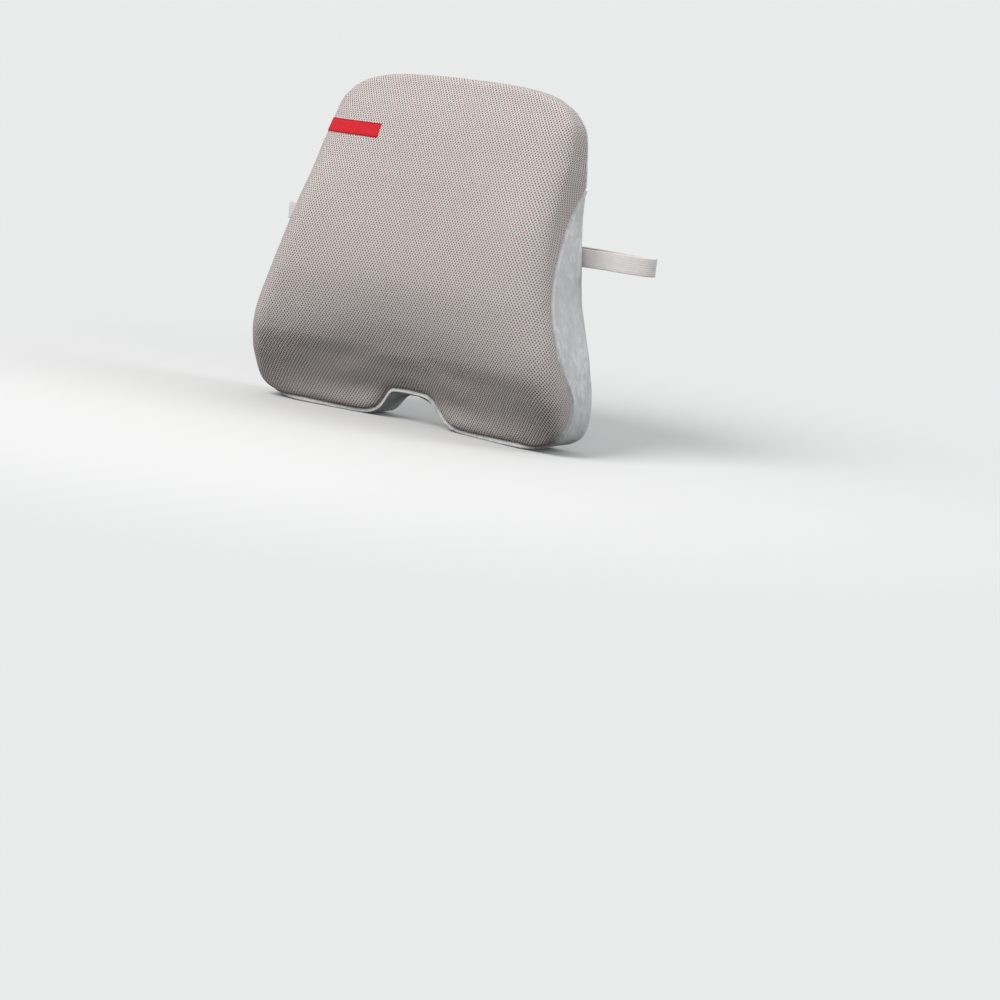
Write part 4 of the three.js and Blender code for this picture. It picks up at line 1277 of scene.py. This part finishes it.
def coil(name, side):
    """One half of the zip's coil: a nylon helix whose turns lie between those of the other half."""
    low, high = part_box("zip_coil_upper" if side > 0 else "zip_coil_lower")
    y, z = (low.y + high.y) / 2, ZIP_M + side * COIL_AT
    k = np.arange(int((high.x - low.x) / COIL_PITCH) * COIL_STEPS + 1)
    angle = 2 * math.pi * k / COIL_STEPS + (0 if side > 0 else math.pi)
    x = low.x + COIL_PITCH * k / COIL_STEPS
    path = np.column_stack([x, y + COIL_HALF_Y * np.sin(angle), z + COIL_HALF_Z * np.cos(angle)])
    tangent = unit(np.gradient(path, axis=0))
    out = unit(np.cross(tangent, (1.0, 0.0, 0.0)))
    across = np.cross(tangent, out)
    return sweep(name, path, across, out, round_section(COIL_WIRE_R, 6))


def tape(name, side):
    """A zip tape with a thicker sewn edge beside the coil."""
    low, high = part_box("zip_tape_upper" if side > 0 else "zip_tape_lower")
    z = np.linspace(low.z, high.z, 27)
    from_coil = np.abs(z - ZIP_M)
    half = (high.y - low.y) / 2 * (1 + 0.35 * np.exp(-(((from_coil - 0.0026) / 0.0005) ** 2)))
    section = np.vstack([np.stack([z, half], axis=1), np.stack([z, -half], axis=1)[::-1]])
    count = 70
    x = np.linspace(low.x, high.x, count)
    path = np.column_stack([x, np.full(count, (low.y + high.y) / 2), np.zeros(count)])
    across, out = (np.tile(v, (count, 1)) for v in ((0.0, 0.0, 1.0), (0.0, 1.0, 0.0)))
    return sweep(name, path, across, out, section)


def zip_stitching():
    """Topstitching through the folded edge of each back panel, beside the zip."""
    rows = []
    reach = (ZIP_HALF_LENGTH + 5) * MM
    for side in (-1, 1):
        z = ZIP_M + side * (ZIP_SLIT / 2 + ZIP_ROW) * MM
        start, end = ((x, BACK_Y - 0.0005, z) for x in (-reach, reach))
        rows.append(rear_stitches(f"zip_row_{side}", start, end, length=0.0026, gap=0.0008, radius=0.00022))
    return joined("zip_stitching", *rows)


def slider():
    """The zip's slider: a shield-shaped plate with turned-down flanges, and a bridge for the pull."""
    low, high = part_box("zip_slider")
    x, z = (low.x + high.x) / 2, ZIP_M
    plate_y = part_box("zip_coil_upper")[1].y + 0.0004
    half = (high.z - low.z) / 2
    shield = [
        (low.x, z - half * 0.62), (x - 0.001, z - half * 0.8), (x + 0.002, z - half),
        (high.x - 0.001, z - half), (high.x, z - half * 0.8), (high.x - 0.0012, z),
        (high.x, z + half * 0.8), (high.x - 0.001, z + half), (x + 0.002, z + half),
        (x - 0.001, z + half * 0.8), (low.x, z + half * 0.62),
    ]
    plate = prism("plate", shield, plate_y, plate_y + 0.001)
    parts = [settle(soften(plate, 0.00035, 3))]
    for s in (-1, 1):
        outside, inside = z + s * half, z + s * (half - 0.0004)
        edge = [
            (low.x + 0.001, z + s * half * 0.58), (x + 0.002, inside), (high.x - 0.001, inside),
            (high.x - 0.001, outside), (x + 0.002, outside), (low.x + 0.001, z + s * half * 0.7),
        ]
        parts.append(prism(f"flange_{s}", edge, plate_y - 0.0011, plate_y + 0.0004))
    outline = rounded_outline(x - 0.0045, x + 0.0045, z - 0.004, z + 0.004, 0.001)
    bottom = prism("bottom", outline, low.y, low.y + 0.0006)
    outline = rounded_outline(x - 0.003, x + 0.003, z - 0.0005, z + 0.0005, 0.0004)
    post = prism("post", outline, low.y, plate_y + 0.0005)
    arch = [
        (x - 0.0036, plate_y + 0.0006), (x - 0.0034, plate_y + 0.0026), (x - 0.0016, high.y - 0.0005),
        (x + 0.0016, high.y - 0.0005), (x + 0.0034, plate_y + 0.0026), (x + 0.0036, plate_y + 0.0006),
    ]
    section = [
        (0.0009, 0.0003), (0.0007, 0.00042), (-0.0007, 0.00042), (-0.0009, 0.0003),
        (-0.0009, -0.0003), (0.0009, -0.0003),
    ]
    bridge = level_sweep("bridge", spline(arch, 8), z, section)
    parts += [settle(soften(bottom, 0.0002, 2)), post, bridge]
    return even_shading(joined("zip_slider_body", *parts))


def pull():
    """The pull tab: a wire bail through the bridge, and a drop-shaped plate with a long hole."""
    low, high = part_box("zip_pull")
    y, z = (low.y + high.y) / 2, ZIP_M
    half = (high.z - low.z) / 2
    pivot = high.x - 0.00055
    side = [
        (pivot - 0.0052, z - 0.0019), (pivot - 0.0075, z - 0.0028), (low.x + 0.004, z - half),
        (low.x + 0.0012, z - half * 0.8), (low.x, z - half * 0.35),
    ]
    plate = settle(soften(prism("tab", mirrored(side, z), low.y, high.y), 0.0004, 3, 30))
    hole = rounded_outline(low.x + 0.0025, low.x + 0.011, z - 0.0013, z + 0.0013, 0.00125)
    cut(plate, prism("hole", hole, low.y - 0.001, high.y + 0.001))
    bail = spline([(pivot, z - 0.0021), (pivot - 0.0028, z - 0.0023), (pivot - 0.0058, z - 0.0017)], 10)
    parts = [plate]
    section = round_section(0.0005, 12)
    for s in (-1, 1):
        line = np.column_stack([bail[:, 0], np.full(len(bail), y), z + s * (z - bail[:, 1])])
        out = np.tile((0.0, 1.0, 0.0), (len(line), 1))
        tangent = unit(np.gradient(line, axis=0))
        parts.append(sweep(f"bail_{s}", line, np.cross(tangent, out), out, section))
    axle = np.column_stack([np.full(9, pivot), np.full(9, y), np.linspace(z - 0.0024, z + 0.0024, 9)])
    across, out = (np.tile(v, (9, 1)) for v in ((1.0, 0.0, 0.0), (0.0, 1.0, 0.0)))
    parts.append(sweep("axle", axle, across, out, section))
    return even_shading(joined("zip_pull_tab", *parts))


# ------------------------------------------------------------------ what is inside the cover


def layer_grid(skin, depth):
    grid = skin.points[:, :-1]
    normals = grid_normals(grid)
    inset = grid - normals * depth
    inset[:, :, 1] = np.maximum(inset[:, :, 1], depth)
    return inset, grid[:, :, [0, 2]]


def core(skin, swell):
    """The moulded foam: one closed form."""
    grid, flat = layer_grid(skin, CORE_DEPTH)
    rows, columns = grid.shape[:2]
    points = swell.apply(placed(grid))
    back = placed([[0, CORE_DEPTH, CENTRE_Z]])
    front = placed(skin.points[:1, -1] - (0, CORE_DEPTH, 0))
    flat = np.vstack([flat.reshape(-1, 2), [[0, CENTRE_Z], [0, CENTRE_Z]]])
    vertices = np.vstack([points.reshape(-1, 3), back, front])
    return add_object("memory_foam_core", vertices, closed_faces(rows, columns), flat=flat)


def liner(skin, swell):
    """The inner liner's two halves, which meet in a seam at the end of the back edge."""
    outer, flat = layer_grid(skin, LINER_DEPTH)
    inner, _ = layer_grid(skin, LINER_DEPTH + LINER_T)
    split = Skin.BACK_STEPS - 1
    sides = (
        ("liner_front_cloth", slice(split, None), skin.points[0, -1], -1),
        ("liner_back_cloth", slice(split, None, -1), np.array([0, 0, CENTRE_Z]), 1),
    )
    halves = []
    for name, columns, middle, side in sides:
        skins = [swell.apply(placed(layer[:, columns])) for layer in (outer, inner)]
        middles = [placed(middle + (0, side * d, 0)) for d in (LINER_DEPTH, LINER_DEPTH + LINER_T)]
        halves.append(shell(name, *skins, flat[:, columns], True, *middles))
    return halves


# ------------------------------------------------------------------ stage, light and camera

AZIMUTH, ELEVATION, ROLL = 33.49, 9.40, 7.0
AIM = Vector((0.122, BACK_Y - 0.0303, BASE_Z - 0.0656))
DISTANCE = 2.685
LENS = 87.34
PALE = (0.82, 0.834, 0.828)
LIT_Z = 0.19  # the height that the lamps point at


def add_camera():
    a, e, r = (math.radians(v) for v in (AZIMUTH, ELEVATION, ROLL))
    back = Vector((math.sin(a) * math.cos(e), -math.cos(a) * math.cos(e), math.sin(e)))
    level = Vector((math.cos(a), math.sin(a), 0))
    upright = back.cross(level)
    right = level * math.cos(r) + upright * math.sin(r)
    up = upright * math.cos(r) - level * math.sin(r)
    camera = linked("camera", bpy.data.cameras.new("camera"))
    camera.data.lens = LENS
    camera.data.sensor_width = 36
    turn = Matrix((right, up, back)).transposed().to_4x4()
    camera.matrix_world = Matrix.Translation(AIM + back * DISTANCE) @ turn
    bpy.context.scene.camera = camera


def area_light(name, toward, distance, size, power, colour):
    data = bpy.data.lights.new(name, "AREA")
    data.shape = "DISK"
    data.size = size
    data.energy = power
    data.color = colour
    o = linked(name, data)
    direction = Vector(toward).normalized()
    target = Vector((0, 0, BASE_Z + LIT_Z))
    o.location = target + direction * distance
    o.rotation_mode = "QUATERNION"
    o.rotation_quaternion = direction.to_track_quat("Z", "Y")


FLOOR_R = 7.0


def add_stage():
    """A pale floor that fades into a pale dome. Neither one lights the object."""
    floor_look = Look("pale_floor", roughness=0.9, specular=0.1)
    floor_look.colour((0.74, 0.745, 0.745, 1))
    blend = floor_look.node("ShaderNodeMixShader")
    far = floor_look.between(floor_look.vector("LENGTH", floor_look.place()), 0.30, 0.95)
    for socket, value in zip(blend.inputs, (far, floor_look.shader.outputs[0], floor_look.glow(PALE))):
        floor_look.feed(socket, value)
    floor_look.surface(blend.outputs[0])
    count = 96
    turns = [2 * math.pi * k / count for k in range(count)]
    ring = [(FLOOR_R * math.cos(a), FLOOR_R * math.sin(a), 0) for a in turns]
    faces = [(k, (k + 1) % count, count) for k in range(count)]
    floor = add_object("floor", [*ring, (0, 0, 0)], faces, smooth=False)
    floor.location.z = BASE_Z
    floor.data.materials.append(floor_look.material)
    dome_look = Look("pale_backdrop")
    dome_look.surface(dome_look.glow(PALE))
    bm = bmesh.new()
    bmesh.ops.create_uvsphere(bm, u_segments=64, v_segments=32, radius=FLOOR_R)
    dome = linked_mesh("backdrop", bm)
    dome.location.z = BASE_Z
    dome.data.materials.append(dome_look.material)
    for o in (floor, dome):
        o.visible_diffuse = False
        o.visible_glossy = False
        o.visible_shadow = False


SKY = 0.55
GROUND = 0.05


def add_light():
    """A soft room that is brighter above, a large key from the upper front left, and a fill at the right."""
    world = bpy.data.worlds.new("studio")
    world.use_nodes = True
    tree = world.node_tree
    background = tree.nodes["Background"]
    coordinates = tree.nodes.new("ShaderNodeTexCoord")
    split = tree.nodes.new("ShaderNodeSeparateXYZ")
    ramp = tree.nodes.new("ShaderNodeMapRange")
    tree.links.new(coordinates.outputs["Generated"], split.inputs[0])
    tree.links.new(split.outputs[2], ramp.inputs[0])
    for socket, value in zip(ramp.inputs[1:5], (-0.25, 0.25, GROUND, SKY)):
        socket.default_value = value
    tree.links.new(ramp.outputs[0], background.inputs["Strength"])
    background.inputs["Color"].default_value = (1, 1, 1, 1)
    bpy.context.scene.world = world
    warm, cool = (1.0, 0.99, 0.975), (0.96, 0.98, 1.0)
    area_light("key", toward=(-0.27, -1.0, 0.92), distance=3.0, size=1.7, power=73, colour=warm)
    area_light("fill", toward=(1.0, 0.30, 0.5), distance=2.6, size=1.4, power=22, colour=cool)
    bpy.context.scene.view_settings.view_transform = "Standard"


# ------------------------------------------------------------------ everything together


def dress_node(name, material, width, segments):
    """Gives a CAD solid that is shown as it is its material and soft edges."""
    nodes[name].data.materials.clear()
    nodes[name].data.materials.append(material)
    soften(nodes[name], width, segments)


def build():
    skin = Skin(Loop(LOOP_COUNT))
    swell = Swell(*simulated_swell(skin))
    mesh_cloth, plush, webbing = air_mesh(), velour(), elastic()
    panel, panel_outer, panel_middle = front_panel(skin, swell)
    finish_piece(panel, "cushion", mesh_cloth, "spacer_mesh", "front_panel", padded=0.9)
    finish_piece(gusset(skin, swell), "cushion", plush, "plush_velour", "gusset", padded=0.9)
    for name, upper in (("upper", True), ("lower", False)):
        panel = back_panel(f"cushion_back_{name}", skin, upper)
        finish_piece(panel, "cushion", plush, "plush_velour", f"back_panel_{name}", padded=0.9)
    ribbon, seam = label_and_stitches(panel_outer, panel_middle)
    finish_piece(ribbon, "cushion", ribbon_red(), "red_ribbon", "label")
    finish_piece(seam, "cushion", thread_of("red_thread", (0.50, 0.012, 0.022)), "red_ribbon")

    inner = Skin(Loop(CORE_LOOP_COUNT))
    finish_piece(core(inner, swell), "cushion", foam(), "memory_foam", "foam_core", padded=1.0)
    lining = tricot()
    for half, node in zip(liner(inner, swell), ("liner_front", "liner_back")):
        finish_piece(half, "cushion", lining, "liner_tricot", node)

    left, right, tail = straps()
    finish_piece(left, "cushion", webbing, "elastic_webbing", "strap_left")
    finish_piece(right, "cushion", webbing, "elastic_webbing", "strap_right")
    finish_piece(tail, "buckle_plug", webbing, "elastic_webbing", "strap_tail")
    finish_piece(keeper(), "strap_keeper", webbing, "elastic_webbing", "strap_keeper")
    pale_thread = thread_of("pale_thread", (0.62, 0.60, 0.59))
    finish_piece(bar_tacks(), "cushion", pale_thread, "elastic_webbing")

    plastic = moulded_plastic()
    finish_piece(housing(), "cushion", plastic, "buckle_plastic", "buckle_housing")
    finish_piece(plug(), "buckle_plug", plastic, "buckle_plastic", "buckle_plug")
    for name in ("buckle_prong_upper", "buckle_prong_lower"):
        dress_node(name, plastic, 0.0005, 3)

    cloth, nylon, metal = zip_cloth(), zip_nylon(), nickel()
    for side, name in ((1, "upper"), (-1, "lower")):
        finish_piece(tape(f"zip_tape_{name}_cloth", side), "cushion", cloth, "zip_tape", f"zip_tape_{name}")
        finish_piece(coil(f"zip_coil_{name}_helix", side), "cushion", nylon, "zip_coil", f"zip_coil_{name}")
    finish_piece(zip_stitching(), "cushion", pale_thread, "plush_velour")
    finish_piece(slider(), "zip_slider", metal, "zip_metal", "zip_slider")
    finish_piece(pull(), "zip_pull", metal, "zip_metal", "zip_pull")
    for name in ("zip_stop_closed_end", "zip_stop_open_end"):
        dress_node(name, metal, 0.0003, 2)


build()
add_stage()
add_light()
add_camera()
